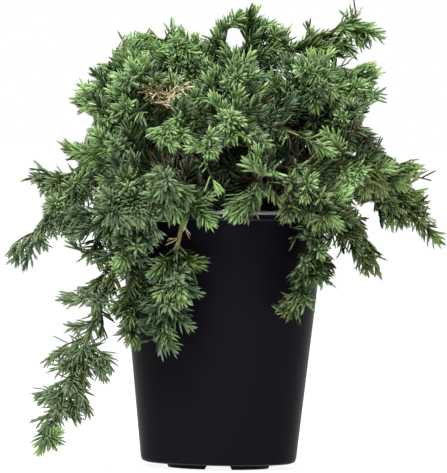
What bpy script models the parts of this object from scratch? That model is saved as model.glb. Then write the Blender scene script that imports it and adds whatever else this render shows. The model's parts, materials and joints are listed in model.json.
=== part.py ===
"""A dwarf garden juniper in a round nursery pot, at its real size.

Every sub-part is an object of its own: the pot, the potting mix, the short trunk, the boughs that
leave it, and the sprays of needled twigs that the boughs carry. Metres, +Z up, origin at the centre
of the pot's underside, front towards -Y.
"""

import math
import random
from collections import namedtuple

import bmesh
import bpy
from mathutils import Matrix, Vector
from mathutils.kdtree import KDTree

MM = 0.001
UP = Vector((0, 0, 1))
GAP = 0.3 * MM  # between solids that meet
WELD = 0.01 * MM
NEARLY_UPRIGHT = 0.05  # sine of the angle to upright below which a direction counts as upright

# --- pot ---------------------------------------------------------------------------------------
POT_HEIGHT = 180 * MM
POT_SIDES = 32
RIM_RADIUS = 75 * MM
WALL_TOP_RADIUS = 71.6 * MM
WALL_FOOT_RADIUS = 54.2 * MM
WALL = 1.4 * MM
LIP_HEIGHT = 3.0 * MM
LIP_ROUNDING = 1.0 * MM
COLLAR_HEIGHT = 7.0 * MM
COLLAR_STEP = 1.0 * MM
BASE_ROUNDING = 3.5 * MM
FOOT_HEIGHT = 3.5 * MM
FOOT_OUTER_RADIUS = 37 * MM
FOOT_INNER_RADIUS = 27 * MM
FOOT_TAPER = 1.0 * MM
CHANNEL_HALF_WIDTH = 7.6 * MM
CHANNEL_OVERRUN = 5 * MM  # past the foot ring
CHANNEL_ROOF = 0.2 * MM  # left below the pot's floor
DRAIN_RADIUS = 4 * MM
DRAIN_RING_RADIUS = 44 * MM
DRAIN_SIDES = 8
DRAIN_CUT = 6 * WALL  # depth of the cutter that opens a drain
SHARP_EDGE = math.radians(30)

# --- potting mix and trunk ---------------------------------------------------------------------
MIX_LEVEL = 166 * MM
MIX_EDGE = 2 * MM
TRUNK_TOP = 246 * MM
TRUNK_SIDES = 10
TRUNK_FLARE_RADIUS = 11 * MM
TRUNK_RADIUS = 6.5 * MM
TRUNK_TIP_RADIUS = 2.6 * MM
TRUNK_LEAN = Vector((3 * MM, -2 * MM, 0))
FLARE_HEIGHT = 4 * MM
BUTTRESSES = 3
BUTTRESS = 0.5  # how much the flare comes and goes round the foot
TRUNK_RINGS = 8
RING_CROWDING = 1.5  # how much the rings crowd towards the flare

# --- boughs ------------------------------------------------------------------------------------
BOUGH_POINTS = 6
BOUGH_TIP_RADIUS = 1.5 * MM
BOUGH_BASE_RADIUS = 1.9 * MM
BOUGH_THICKENING = 0.010  # extra base radius for each metre of length
BOUGH_BEND = 0.45  # of the bough's length, before it turns up or out

# --- sprays ------------------------------------------------------------------------------------
STEM_RADIUS = 1.15 * MM
STEM_TIP_RADIUS = 0.45 * MM
SHOOT_RADIUS = 0.95 * MM
SHOOT_TIP_RADIUS = 0.35 * MM
SHOOT_LENGTH = 38 * MM
SHOOT_SPACING = 13.5 * MM
SHOOT_SHORTEST = 13 * MM
NEEDLE_REACH = 9.5 * MM
NEEDLE_LEAN = 7.0 * MM
RING_SPACING = 10.2 * MM
TIP_OVERSHOOT = 9.0 * MM  # past the tip of a spray's stem
TIP_CLOSING = 0.45  # share of its reach that a twig's last needle loses
CLOSING_RINGS = 3
SHOOT_TURN = math.radians(137.5)  # round the stem, from one shoot to the next
SHOOT_TURN_VARIES = 25  # degrees either way
SHOOT_SPREAD = (40, 54)  # degrees from its stem
SHOOT_LIFT = (0.05, 0.22)  # of its length, at its tip
SHOOT_VARIES = (0.85, 1.15)  # of the length that the rule gives it
SHOOT_AT_BASE = 1.12  # of SHOOT_LENGTH, for one at the stem's foot
SHOOT_LOSS = 0.55  # of SHOOT_LENGTH, for one at its tip
SHOOT_CUT = 0.82  # what's left of a shoot each time it's shortened to fit
BEFORE_FIRST = 0.35  # of a spacing, ahead of the first shoot
AFTER_LAST = 0.2
CORE_SIDES = 3
CORE_TWIST = math.radians(34)
BARE_SHARE = 0.1  # of a stem's length, next to its bough
SHOOT_ROOM = 1.3 * MM  # kept round a shoot's axis within its spray's space
NEEDLE_ROOM = 0.5 * MM
STEM_SPACING = 2.7 * MM  # between stems at the bough's tip
STEM_STEP = 2 * MM  # between the points that stand for a stem when distances are found
LIMB_STEP = 1.5 * MM
SEED = 20

# A spray ends at a compass bearing (degrees from +X towards +Y), a reach from the pot's axis and a
# height, both in millimetres. Its stem goes on in its bough's line for that share of its length.
Spray = namedtuple("Spray", "name bearing reach height bend", defaults=(0.35,))
# A bough runs from a height on the trunk to its fork, and carries its sprays there.
Bough = namedtuple("Bough", "name start bearing reach height sprays")

BOUGHS = (
    Bough("left_low", 183, 181, 48, 200, (
        Spray("far_left", 184, 145, 141, 0.45),
        Spray("left_outer", 177, 135, 199),
    )),
    Bough("left_trailing", 178, 222, 79, 189, (
        Spray("trailing_left", 202, 132, 14, 0.04),
        Spray("left_under", 199, 99, 143, 0.25),
        Spray("left_beside_pot", 226, 80, 88, 0.05),
    )),
    Bough("front_left", 188, 230, 48, 201, (
        Spray("left_fore", 207, 126, 220),
        Spray("front_left_low", 232, 128, 176, 0.45),
        Spray("front_low_left", 254, 133, 200),
    )),
    Bough("front_hanging", 182, 253, 80, 189, (
        Spray("hanging_front", 242, 88, 82, 0.08),
    )),
    Bough("front_right", 190, 296, 48, 202, (
        Spray("front_low", 281, 134, 203),
        Spray("front_right_low", 306, 130, 176, 0.45),
        Spray("right_front", 334, 130, 206),
    )),
    Bough("right_trailing", 178, 324, 82, 189, (
        Spray("hanging_right", 304, 86, 106, 0.1),
        Spray("right_under", 344, 100, 136, 0.2),
    )),
    Bough("right_low", 184, 0, 50, 201, (
        Spray("right_outer", 3, 145, 202),
        Spray("far_right", 353, 148, 164, 0.45),
        Spray("back_right_low", 32, 134, 191, 0.45),
    )),
    Bough("back_low", 187, 76, 48, 200, (
        Spray("back_right_far", 60, 134, 184, 0.45),
        Spray("back_far", 91, 133, 206),
    )),
    Bough("back_trailing", 180, 104, 82, 189, (
        Spray("hanging_back", 99, 90, 106, 0.1),
    )),
    Bough("back_left", 185, 140, 48, 200, (
        Spray("back_left_far", 123, 134, 208),
        Spray("back_left_low", 152, 136, 180, 0.45),
    )),
    Bough("left_high", 200, 196, 30, 223, (
        Spray("left_shoulder", 180, 100, 254),
        Spray("left_cheek", 214, 106, 240, 0.45),
        Spray("left_crest", 171, 82, 284),
        Spray("left_brow", 222, 84, 270),
    )),
    Bough("front_high", 206, 274, 28, 223, (
        Spray("front_cheek", 243, 106, 234, 0.45),
        Spray("front_face", 272, 108, 240, 0.45),
        Spray("front_brow", 300, 106, 233, 0.45),
        Spray("front_crest", 276, 72, 280),
        Spray("front_middle", 264, 121, 218, 0.5),
    )),
    Bough("right_high", 203, 350, 30, 225, (
        Spray("right_cheek", 329, 106, 238, 0.45),
        Spray("right_shoulder", 358, 107, 262),
        Spray("right_crest", 2, 106, 302, 0.25),
        Spray("right_brow", 326, 76, 280),
    )),
    Bough("back_high", 209, 92, 28, 224, (
        Spray("right_back_shoulder", 36, 108, 240, 0.45),
        Spray("back_shoulder", 74, 106, 246, 0.45),
        Spray("back_cheek", 111, 106, 240, 0.45),
        Spray("left_back_shoulder", 147, 108, 244, 0.45),
        Spray("back_crest", 86, 72, 282),
    )),
)
# The trunk's top carries the highest ones.
TOP_SPRAYS = (
    Spray("left_top", 172, 53, 300, 0.3),
    Spray("highest_tip", 320, 20, 318, 0.4),
    Spray("right_top", 13, 92, 313, 0.25),
)

# --- materials: colour, roughness, metallic -----------------------------------------------------
FINISHES = {
    "pot_plastic": ((0.012, 0.011, 0.016), 0.38, 0.0),
    "potting_mix": ((0.045, 0.030, 0.020), 0.95, 0.0),
    "bark": ((0.170, 0.095, 0.050), 0.85, 0.0),
    "foliage": ((0.080, 0.170, 0.055), 0.55, 0.0),
}


def clear_scene():
    for obj in list(bpy.data.objects):
        bpy.data.objects.remove(obj, do_unlink=True)


def finish(name):
    """The named Principled material, made once."""
    found = bpy.data.materials.get(name)
    if found:
        return found
    colour, roughness, metallic = FINISHES[name]
    material = bpy.data.materials.new(name)
    material.use_nodes = True
    shader = material.node_tree.nodes["Principled BSDF"]
    shader.inputs["Base Color"].default_value = (*colour, 1)
    shader.inputs["Roughness"].default_value = roughness
    shader.inputs["Metallic"].default_value = metallic
    material.diffuse_color = (*colour, 1)
    return material


def linked(name, data, material):
    obj = bpy.data.objects.new(name, data)
    bpy.context.scene.collection.objects.link(obj)
    data.materials.append(finish(material))
    return obj


def from_bmesh(name, shape, material):
    mesh = bpy.data.meshes.new(name)
    shape.to_mesh(mesh)
    shape.free()
    return linked(name, mesh, material)


def applied(obj):
    """Bakes the object's modifiers into its mesh."""
    graph = bpy.context.evaluated_depsgraph_get()
    mesh = bpy.data.meshes.new_from_object(obj.evaluated_get(graph))
    obj.modifiers.clear()
    obj.data = mesh
    return obj


def shells(shape):
    """The faces of each separate shell."""
    left = set(shape.faces)
    while left:
        shell, edge_of = [], [left.pop()]
        while edge_of:
            face = edge_of.pop()
            shell.append(face)
            beside = {other for edge in face.edges for other in edge.link_faces} & left
            left -= beside
            edge_of.extend(beside)
        yield shell


def enclosed(faces):
    """The volume that a shell's triangles enclose, below zero where the shell lines a hollow."""
    return sum(f.verts[0].co.dot(f.verts[1].co.cross(f.verts[2].co)) for f in faces) / 6


def keep_main_shell(mesh):
    """Fills the hollows that joining has sealed and drops loose scraps: only the largest shell stays."""
    shape = bmesh.new()
    shape.from_mesh(mesh)
    bmesh.ops.triangulate(shape, faces=shape.faces)
    found = sorted(shells(shape), key=enclosed)
    extra = [face for shell in found[:-1] for face in shell]
    bmesh.ops.delete(shape, geom=extra, context="FACES")
    shape.to_mesh(mesh)
    shape.free()


# --- curves and places --------------------------------------------------------------------------
def at(bearing, reach, height):
    """The point at a compass bearing in degrees, a reach and a height in millimetres."""
    turn = math.radians(bearing)
    return Vector((math.cos(turn) * reach, math.sin(turn) * reach, height)) * MM


def curved(start, control, end, count):
    """count points on the parabola from start to end that leaves and arrives towards control."""
    points = []
    for step in range(count):
        t = step / (count - 1)
        points.append(start * (1 - t) ** 2 + control * 2 * t * (1 - t) + end * t * t)
    return points


def length_of(path):
    return sum((b - a).length for a, b in zip(path, path[1:]))


def point_along(path, share):
    """The point at that share of the path's length, and the direction there."""
    left = share * length_of(path)
    for a, b in zip(path, path[1:]):
        step = (b - a).length
        if left <= step:
            return a.lerp(b, left / step), (b - a).normalized()
        left -= step
    return path[-1].copy(), (path[-1] - path[-2]).normalized()


def side_of(direction, roll):
    """A unit vector square to direction, turned by roll from the most upright one."""
    level = direction.cross(UP)
    if level.length < NEARLY_UPRIGHT:
        level = direction.cross(Vector((0, 1, 0)))
    level.normalize()
    upright = level.cross(direction)
    return upright * math.cos(roll) + level * math.sin(roll)


# --- the pot ------------------------------------------------------------------------------------
def wall_radius(height):
    """The outer radius of the pot's wall at a height."""
    low, high = FOOT_HEIGHT + BASE_ROUNDING, POT_HEIGHT - COLLAR_HEIGHT
    return WALL_FOOT_RADIUS + (WALL_TOP_RADIUS - WALL_FOOT_RADIUS) * (height - low) / (high - low)


def pot_profile():
    """Radius and height down the outside from the lip, under the foot ring, and up the inside."""
    foot = FOOT_HEIGHT
    collar_foot = POT_HEIGHT - COLLAR_HEIGHT
    collar_radius = WALL_TOP_RADIUS + COLLAR_STEP
    slant = BASE_ROUNDING * (1 - math.sqrt(0.5))
    outside = [
        (RIM_RADIUS - LIP_ROUNDING, POT_HEIGHT),
        (RIM_RADIUS, POT_HEIGHT - LIP_ROUNDING),
        (RIM_RADIUS, POT_HEIGHT - LIP_HEIGHT),
        (collar_radius, POT_HEIGHT - LIP_HEIGHT),
        (collar_radius, collar_foot),
        (WALL_TOP_RADIUS, collar_foot - COLLAR_STEP),
        (WALL_FOOT_RADIUS, foot + BASE_ROUNDING),
        (WALL_FOOT_RADIUS - slant, foot + slant),
        (WALL_FOOT_RADIUS - BASE_ROUNDING, foot),
    ]
    feet = [
        (FOOT_OUTER_RADIUS, foot),
        (FOOT_OUTER_RADIUS - FOOT_TAPER, 0),
        (FOOT_INNER_RADIUS + FOOT_TAPER, 0),
        (FOOT_INNER_RADIUS, foot),
        (0, foot),
    ]
    inside = [
        (0, foot + WALL),
        (WALL_FOOT_RADIUS - BASE_ROUNDING, foot + WALL),
        (wall_radius(foot + 2 * BASE_ROUNDING) - WALL, foot + 2 * BASE_ROUNDING),
        (WALL_TOP_RADIUS - WALL, collar_foot),
        (WALL_TOP_RADIUS - WALL, POT_HEIGHT - LIP_ROUNDING),
        (WALL_TOP_RADIUS - WALL + LIP_ROUNDING, POT_HEIGHT),
    ]
    return outside + feet + inside


def spun(name, profile, sides, material):
    """A closed profile, given as radius and height, turned once round the Z axis."""
    shape = bmesh.new()
    corners = [shape.verts.new((radius, 0, height)) for radius, height in profile]
    edges = [shape.edges.new(pair) for pair in zip(corners, corners[1:] + corners[:1])]
    bmesh.ops.spin(
        shape, geom=corners + edges, cent=(0, 0, 0), axis=UP, dvec=(0, 0, 0),
        angle=math.tau, steps=sides, use_merge=True, use_duplicate=False,
    )
    bmesh.ops.remove_doubles(shape, verts=shape.verts, dist=WELD)
    bmesh.ops.dissolve_degenerate(shape, edges=shape.edges, dist=WELD)
    bmesh.ops.recalc_face_normals(shape, faces=shape.faces)
    return from_bmesh(name, shape, material)


def drainage_cutter():
    """The crossed channels that part the foot ring into four feet, and a drain hole at each end."""
    shape = bmesh.new()
    reach = FOOT_OUTER_RADIUS + CHANNEL_OVERRUN
    for quarter in range(2):
        turn = Matrix.Rotation(quarter * math.pi / 2, 4, "Z")
        box = bmesh.ops.create_cube(shape, size=1)["verts"]
        for vert in box:
            below = vert.co.z < 0
            half = CHANNEL_HALF_WIDTH + (FOOT_HEIGHT if below else 0)
            vert.co = turn @ Vector((
                math.copysign(half, vert.co.x),
                math.copysign(reach, vert.co.y),
                -FOOT_HEIGHT / 2 if below else FOOT_HEIGHT - CHANNEL_ROOF,
            ))
    bmesh.ops.recalc_face_normals(shape, faces=shape.faces)
    cutter = from_bmesh("channels", shape, "pot_plastic")
    drains = []
    for quarter in range(4):
        turn = quarter * math.pi / 2
        shape = bmesh.new()
        place = Vector((math.sin(turn), math.cos(turn), 0)) * DRAIN_RING_RADIUS
        place.z = FOOT_HEIGHT + WALL / 2
        bmesh.ops.create_cone(
            shape, cap_ends=True, segments=DRAIN_SIDES, radius1=DRAIN_RADIUS, radius2=DRAIN_RADIUS,
            depth=DRAIN_CUT, matrix=Matrix.Translation(place),
        )
        drains.append(from_bmesh(f"drain_{quarter}", shape, "pot_plastic"))
    return [cutter, *drains]


def make_pot():
    pot = spun("pot", pot_profile(), POT_SIDES, "pot_plastic")
    cutters = bpy.data.collections.new("pot_cutters")
    bpy.context.scene.collection.children.link(cutters)
    for cutter in drainage_cutter():
        bpy.context.scene.collection.objects.unlink(cutter)
        cutters.objects.link(cutter)
    cut = pot.modifiers.new("drainage", "BOOLEAN")
    cut.operation = "DIFFERENCE"
    cut.operand_type = "COLLECTION"
    cut.collection = cutters
    cut.solver = "EXACT"
    cut.use_self = True
    applied(pot)
    for cutter in list(cutters.objects):
        bpy.data.objects.remove(cutter, do_unlink=True)
    bpy.data.collections.remove(cutters)
    pot.data.shade_smooth()
    pot.data.set_sharp_from_angle(angle=SHARP_EDGE)
    return pot


def make_potting_mix():
    """The root ball's compost: it fills the pot to MIX_LEVEL, a gap inside the wall."""
    clear = 2 * GAP / math.cos(math.pi / POT_SIDES)
    floor = FOOT_HEIGHT + WALL + GAP
    curve_top = FOOT_HEIGHT + 2 * BASE_ROUNDING

    def inner(height):
        return wall_radius(height) - WALL - clear

    profile = [
        (0, MIX_LEVEL),
        (inner(MIX_LEVEL) - MIX_EDGE, MIX_LEVEL),
        (inner(MIX_LEVEL), MIX_LEVEL - MIX_EDGE),
        (inner(curve_top), curve_top + GAP),
        (WALL_FOOT_RADIUS - BASE_ROUNDING - clear, floor),
        (0, floor),
    ]
    return spun("potting_mix", profile, POT_SIDES, "potting_mix")


# --- trunk and boughs ---------------------------------------------------------------------------
def drawn_out(shape, face):
    """Extrudes the end face of a solid, and returns its new end and the new sides."""
    has_sides = face.edges[0].is_manifold
    before = set(shape.faces)
    grown = bmesh.ops.extrude_face_region(shape, geom=[face])["geom"]
    end = next(item for item in grown if isinstance(item, bmesh.types.BMFace))
    if has_sides:
        shape.faces.remove(face)
    return end, [item for item in shape.faces if item not in before and item is not end]


def trunk_axis(height):
    """The trunk's centre at a height: it leans a little to the front right."""
    share = (height - MIX_LEVEL) / (TRUNK_TOP - MIX_LEVEL)
    return TRUNK_LEAN * share * share + UP * height


def trunk_radius(height, turn):
    """Its radius at a height and a bearing: a flared foot with three low buttresses, and a taper."""
    share = (height - MIX_LEVEL) / (TRUNK_TOP - MIX_LEVEL)
    flare = (TRUNK_FLARE_RADIUS - TRUNK_RADIUS) * math.exp((MIX_LEVEL - height) / FLARE_HEIGHT)
    straight = TRUNK_RADIUS + (TRUNK_TIP_RADIUS - TRUNK_RADIUS) * share
    return straight + flare * (1 + BUTTRESS * math.cos(BUTTRESSES * turn))


def make_trunk():
    """The short trunk, from its flared foot on the potting mix to where the top boughs leave it."""
    shape = bmesh.new()
    ring = bmesh.ops.create_circle(shape, cap_ends=True, segments=TRUNK_SIDES, radius=1)["verts"]
    foot = MIX_LEVEL + GAP
    face = shape.faces[:][0]
    for step in range(TRUNK_RINGS + 1):
        height = foot + (TRUNK_TOP - foot) * (step / TRUNK_RINGS) ** RING_CROWDING
        if step:
            face = drawn_out(shape, face)[0]
            ring = list(face.verts)
        for index, vert in enumerate(ring):
            turn = index * math.tau / TRUNK_SIDES
            radius = trunk_radius(height, turn)
            vert.co = trunk_axis(height) + Vector((math.cos(turn), math.sin(turn), 0)) * radius
    bmesh.ops.recalc_face_normals(shape, faces=shape.faces)
    return from_bmesh("trunk", shape, "bark")


def limb(name, path, radius, tip_radius):
    """One tapering limb along path, as a bevelled curve with capped ends."""
    curve = bpy.data.curves.new(name, "CURVE")
    curve.dimensions = "3D"
    curve.bevel_depth = 1.0
    curve.bevel_resolution = 1
    curve.use_fill_caps = True
    spline = curve.splines.new("POLY")
    spline.points.add(len(path) - 1)
    for index, point in enumerate(path):
        share = index / (len(path) - 1)
        spline.points[index].co = (*point, 1)
        spline.points[index].radius = radius + (tip_radius - radius) * share
    return linked(name, curve, "bark")


def bough_path(bough):
    """A limb that leaves the trunk's side level, and curves to its fork."""
    fork = at(bough.bearing, bough.reach, bough.height)
    outwards = at(bough.bearing, 1, 0).normalized()
    start = trunk_axis(bough.start * MM)
    start += outwards * (trunk_radius(bough.start * MM, math.radians(bough.bearing)) + GAP)
    control = start + outwards * BOUGH_BEND * (fork - start).length
    return curved(start, control, fork, BOUGH_POINTS)


def base_radius(path):
    return BOUGH_BASE_RADIUS + BOUGH_THICKENING * length_of(path)


def make_boughs():
    """Every bough, and the paths of all limbs with their radii for the sprays to keep clear of."""
    limbs = []
    for bough in BOUGHS:
        path = bough_path(bough)
        limb(f"bough_{bough.name}", path, base_radius(path), BOUGH_TIP_RADIUS)
        limbs.append((path, base_radius(path)))
    return limbs


# --- sprays -------------------------------------------------------------------------------------
def turn_about(direction, point):
    """How far round the direction a point lies, from its most upright side."""
    return math.atan2(point.dot(side_of(direction, math.pi / 2)), point.dot(side_of(direction, 0)))


def stem_paths(carrier, sprays):
    """The stems leave the tip of the limb that carries them, side by side and in line with it, and
    bend to their own tips."""
    fork, direction = carrier[-1], (carrier[-1] - carrier[-2]).normalized()
    tips = {spray: at(spray.bearing, spray.reach, spray.height) for spray in sprays}
    in_turn = sorted(tips, key=lambda spray: turn_about(direction, tips[spray] - fork))
    share = math.tau / len(in_turn)
    turns = [
        turn_about(direction, tips[spray] - fork) - index * share
        for index, spray in enumerate(in_turn)
    ]
    first = math.atan2(sum(map(math.sin, turns)), sum(map(math.cos, turns)))
    offset = STEM_SPACING / (2 * math.sin(share / 2)) if len(in_turn) > 1 else 0
    paths = {}
    for index, spray in enumerate(in_turn):
        start = fork + direction * GAP + side_of(direction, first + index * share) * offset
        reach = (tips[spray] - start).length
        control = start + direction * reach * spray.bend
        paths[spray.name] = curved(start, control, tips[spray], round(reach / RING_SPACING) + 2)
    return paths


class Space:
    """Which spray a point belongs to: the one whose stem is nearest, clear of limbs, pot and floor."""

    def __init__(self, stems, limbs):
        self.trees = {name: self.tree(path, STEM_STEP) for name, path in stems.items()}
        self.lasts = {name: int(length_of(path) / STEM_STEP) for name, path in stems.items()}
        self.limbs = [(self.tree(path, LIMB_STEP), radius) for path, radius in limbs]

    @staticmethod
    def tree(path, step):
        count = max(2, int(length_of(path) / step))
        tree = KDTree(count + 1)
        for index in range(count + 1):
            tree.insert(point_along(path, index / count)[0], index)
        tree.balance()
        return tree

    def holds(self, name, point, room):
        """Whether a point with that much room round it is in the spray's own space."""
        radius = math.hypot(point.x, point.y)
        if point.z < room:
            return False
        if point.z < POT_HEIGHT + room and radius < RIM_RADIUS + room:
            below_collar = point.z < POT_HEIGHT - COLLAR_HEIGHT - room
            outside = below_collar and radius > wall_radius(point.z) + room
            inside = radius < WALL_TOP_RADIUS - WALL - room and point.z > MIX_LEVEL + room
            if not inside and not outside:
                return False
        trunk_height = min(max(point.z, MIX_LEVEL), TRUNK_TOP)
        from_trunk = point - trunk_axis(trunk_height)
        bearing = math.atan2(from_trunk.y, from_trunk.x)
        if from_trunk.length < trunk_radius(trunk_height, bearing) + room:
            return False
        for tree, limb_radius in self.limbs:
            if tree.find(point)[2] < limb_radius + room:
                return False
        _, index, own = self.trees[name].find(point)
        if index == self.lasts[name] and own > TIP_OVERSHOOT:
            return False
        return all(
            other == name or tree.find(point)[2] - own > 2 * room
            for other, tree in self.trees.items()
        )


def shoot_paths(name, stem, space):
    """Side shoots by the plant's rule: set off in turn round the stem, shorter towards its tip, each
    turned up a little at its end. One that would leave the spray's space is shortened or left out."""
    rng = random.Random(f"{SEED} {name}")
    length = length_of(stem)
    count = max(3, round(length * (1 - BARE_SHARE) / SHOOT_SPACING))
    paths = []
    for index in range(count):
        place = (index + BEFORE_FIRST) / (count + BEFORE_FIRST + AFTER_LAST)
        share = BARE_SHARE + (1 - BARE_SHARE) * place
        root, direction = point_along(stem, share)
        varied = rng.uniform(-SHOOT_TURN_VARIES, SHOOT_TURN_VARIES)
        roll = index * SHOOT_TURN + math.radians(varied)
        spread = math.radians(rng.uniform(*SHOOT_SPREAD))
        side = side_of(direction, roll)
        heading = (direction * math.cos(spread) + side * math.sin(spread)).normalized()
        size = SHOOT_LENGTH * (SHOOT_AT_BASE - SHOOT_LOSS * share) * rng.uniform(*SHOOT_VARIES)
        lift = rng.uniform(*SHOOT_LIFT) * size
        while size > SHOOT_SHORTEST:
            steps = max(3, round(size / RING_SPACING) + 1)
            path = [
                root + heading * size * t + UP * lift * t * t
                for t in (step / (steps - 1) for step in range(steps))
            ]
            between = [a.lerp(b, 0.5) for a, b in zip(path, path[1:])]
            if all(space.holds(name, point, SHOOT_ROOM) for point in path[1:] + between):
                paths.append(path)
                break
            size *= SHOOT_CUT
    return paths


def tangents(path):
    """The direction of a parabola at each of the points taken from it at even steps."""
    first = 4 * path[1] - 3 * path[0] - path[2]
    last = 3 * path[-1] - 4 * path[-2] + path[-3]
    between = [after - before for before, after in zip(path, path[2:])]
    return [direction.normalized() for direction in (first, *between, last)]


def frames_along(path):
    """A place and an upright frame at each point of the path, as matrices with Z along it."""
    frames = []
    directions = tangents(path)
    side = side_of(directions[0], 0)
    for point, along in zip(path, directions):
        side = (side - along * side.dot(along)).normalized()
        turned = Matrix((side, along.cross(side), along)).transposed().to_4x4()
        frames.append(Matrix.Translation(point) @ turned)
    return frames


def needled_twig(label, path, radius, tip_radius, first, space, name):
    """A slim twisted core along path whose side faces, from ring number first on, are drawn out
    into needles that lean towards the tip."""
    shape = bmesh.new()
    ring = bmesh.ops.create_circle(shape, cap_ends=True, segments=CORE_SIDES, radius=1)["verts"]
    face = shape.faces[:][0]
    frames = frames_along(path)
    last = len(frames) - 1
    sides = []
    for step, frame in enumerate(frames):
        if step:
            face, around = drawn_out(shape, face)
            sides.append(around)
            ring = list(face.verts)
        size = radius + (tip_radius - radius) * step / last
        for index, vert in enumerate(ring):
            turn = index * math.tau / CORE_SIDES + max(0, step - first) * CORE_TWIST
            vert.co = frame @ Vector((math.cos(turn) * size, math.sin(turn) * size, 0))
    bmesh.ops.recalc_face_normals(shape, faces=shape.faces)
    for step, faces in enumerate(sides):
        if step < first:
            continue
        closing = 1 - TIP_CLOSING * max(0, step - last + CLOSING_RINGS) / CLOSING_RINGS
        along = frames[step].to_3x3().col[2]
        for side in faces:
            centre = side.calc_center_median()
            outwards = centre - frames[step].translation
            outwards = (outwards - along * outwards.dot(along)).normalized()
            tip = centre + outwards * NEEDLE_REACH * closing + along * NEEDLE_LEAN
            if space.holds(name, tip, NEEDLE_ROOM):
                bmesh.ops.poke(shape, faces=[side])["verts"][0].co = tip
    return from_bmesh(label, shape, "foliage")


def make_spray(name, stem, space):
    """One mass of foliage: a needled stem and its side shoots, joined into one solid."""
    bare = round(BARE_SHARE * (len(stem) - 1))
    mass = needled_twig(f"spray_{name}", stem, STEM_RADIUS, STEM_TIP_RADIUS, bare, space, name)
    shoots = bpy.data.collections.new(f"shoots_{name}")
    bpy.context.scene.collection.children.link(shoots)
    for number, path in enumerate(shoot_paths(name, stem, space)):
        label = f"{name}_shoot_{number}"
        shoot = needled_twig(label, path, SHOOT_RADIUS, SHOOT_TIP_RADIUS, 1, space, name)
        bpy.context.scene.collection.objects.unlink(shoot)
        shoots.objects.link(shoot)
    if shoots.objects:
        join = mass.modifiers.new("join", "BOOLEAN")
        join.operation = "UNION"
        join.operand_type = "COLLECTION"
        join.collection = shoots
        join.solver = "MANIFOLD"
        applied(mass)
        keep_main_shell(mass.data)
    for shoot in list(shoots.objects):
        bpy.data.objects.remove(shoot, do_unlink=True)
    bpy.data.collections.remove(shoots)
    return mass


def main():
    clear_scene()
    make_pot()
    make_potting_mix()
    make_trunk()
    limbs = make_boughs()
    trunk_tip = [trunk_axis(height) for height in (TRUNK_TOP - MM, TRUNK_TOP)]
    stems = stem_paths(trunk_tip, TOP_SPRAYS)
    for bough in BOUGHS:
        stems.update(stem_paths(bough_path(bough), bough.sprays))
    space = Space(stems, limbs)
    for name, stem in stems.items():
        make_spray(name, stem, space)


main()
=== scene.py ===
"""A dwarf garden juniper in a round nursery pot: its looks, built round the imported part.

The plant grows on here by the rule that shapes its solids: boughs leave the trunk, stems leave the
boughs' tips side by side, and shoots set off in turn round each stem. It is carried on to finer
twigs and to needles of their real size. Metres, +Z up, the pot's underside at the origin.
"""

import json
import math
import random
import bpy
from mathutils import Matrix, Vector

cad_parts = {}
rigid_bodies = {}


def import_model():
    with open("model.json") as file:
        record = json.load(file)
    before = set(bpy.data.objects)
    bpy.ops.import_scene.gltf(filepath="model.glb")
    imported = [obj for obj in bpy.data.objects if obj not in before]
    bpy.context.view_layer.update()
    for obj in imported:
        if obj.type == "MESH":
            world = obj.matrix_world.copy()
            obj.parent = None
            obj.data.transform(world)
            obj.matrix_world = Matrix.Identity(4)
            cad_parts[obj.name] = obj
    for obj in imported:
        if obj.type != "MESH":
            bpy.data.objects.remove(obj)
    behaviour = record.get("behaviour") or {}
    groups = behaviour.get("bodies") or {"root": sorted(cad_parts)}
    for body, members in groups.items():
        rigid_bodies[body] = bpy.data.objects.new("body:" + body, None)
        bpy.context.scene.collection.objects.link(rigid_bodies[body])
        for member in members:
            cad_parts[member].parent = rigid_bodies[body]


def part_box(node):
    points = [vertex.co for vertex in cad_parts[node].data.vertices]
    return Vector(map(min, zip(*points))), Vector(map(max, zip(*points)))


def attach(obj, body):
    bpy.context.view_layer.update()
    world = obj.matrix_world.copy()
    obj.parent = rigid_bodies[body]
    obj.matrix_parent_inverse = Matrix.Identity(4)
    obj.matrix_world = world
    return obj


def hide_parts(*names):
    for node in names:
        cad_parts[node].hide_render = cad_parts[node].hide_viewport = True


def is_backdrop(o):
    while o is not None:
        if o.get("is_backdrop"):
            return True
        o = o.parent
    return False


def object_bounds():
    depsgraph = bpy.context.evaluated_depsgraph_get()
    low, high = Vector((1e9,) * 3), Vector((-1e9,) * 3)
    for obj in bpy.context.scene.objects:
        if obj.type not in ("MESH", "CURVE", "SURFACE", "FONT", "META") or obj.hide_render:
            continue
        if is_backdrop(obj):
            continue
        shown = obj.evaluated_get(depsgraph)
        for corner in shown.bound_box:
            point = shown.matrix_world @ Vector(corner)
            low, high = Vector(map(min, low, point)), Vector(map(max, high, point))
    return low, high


bl_info = {
    "name": "Potted Juniper",
    "version": (1, 0, 0),
    "blender": (4, 5, 0),
    "location": "3D View > Sidebar > Juniper",
    "description": "Dresses a dwarf juniper and its nursery pot in needles, bark and moulded plastic",
    "category": "Add Mesh",
}

from collections import namedtuple

import bmesh
import bpy
import numpy as np
from bpy.props import FloatProperty, FloatVectorProperty, IntProperty, PointerProperty
from mathutils import Matrix, Vector, noise

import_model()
CAD_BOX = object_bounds()
BODY = "root"

MM = 0.001
UP = Vector((0, 0, 1))
GAP = 0.3 * MM  # between the solids of the frame that meet
NEARLY_UPRIGHT = 0.05  # sine of the angle to upright below which a direction counts as upright
NEARLY_ALONG = 0.96  # cosine of that angle above which a twig or a needle's end face does
MERGED = 0.01 * MM
WHITE = (1, 1, 1, 1)

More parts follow.
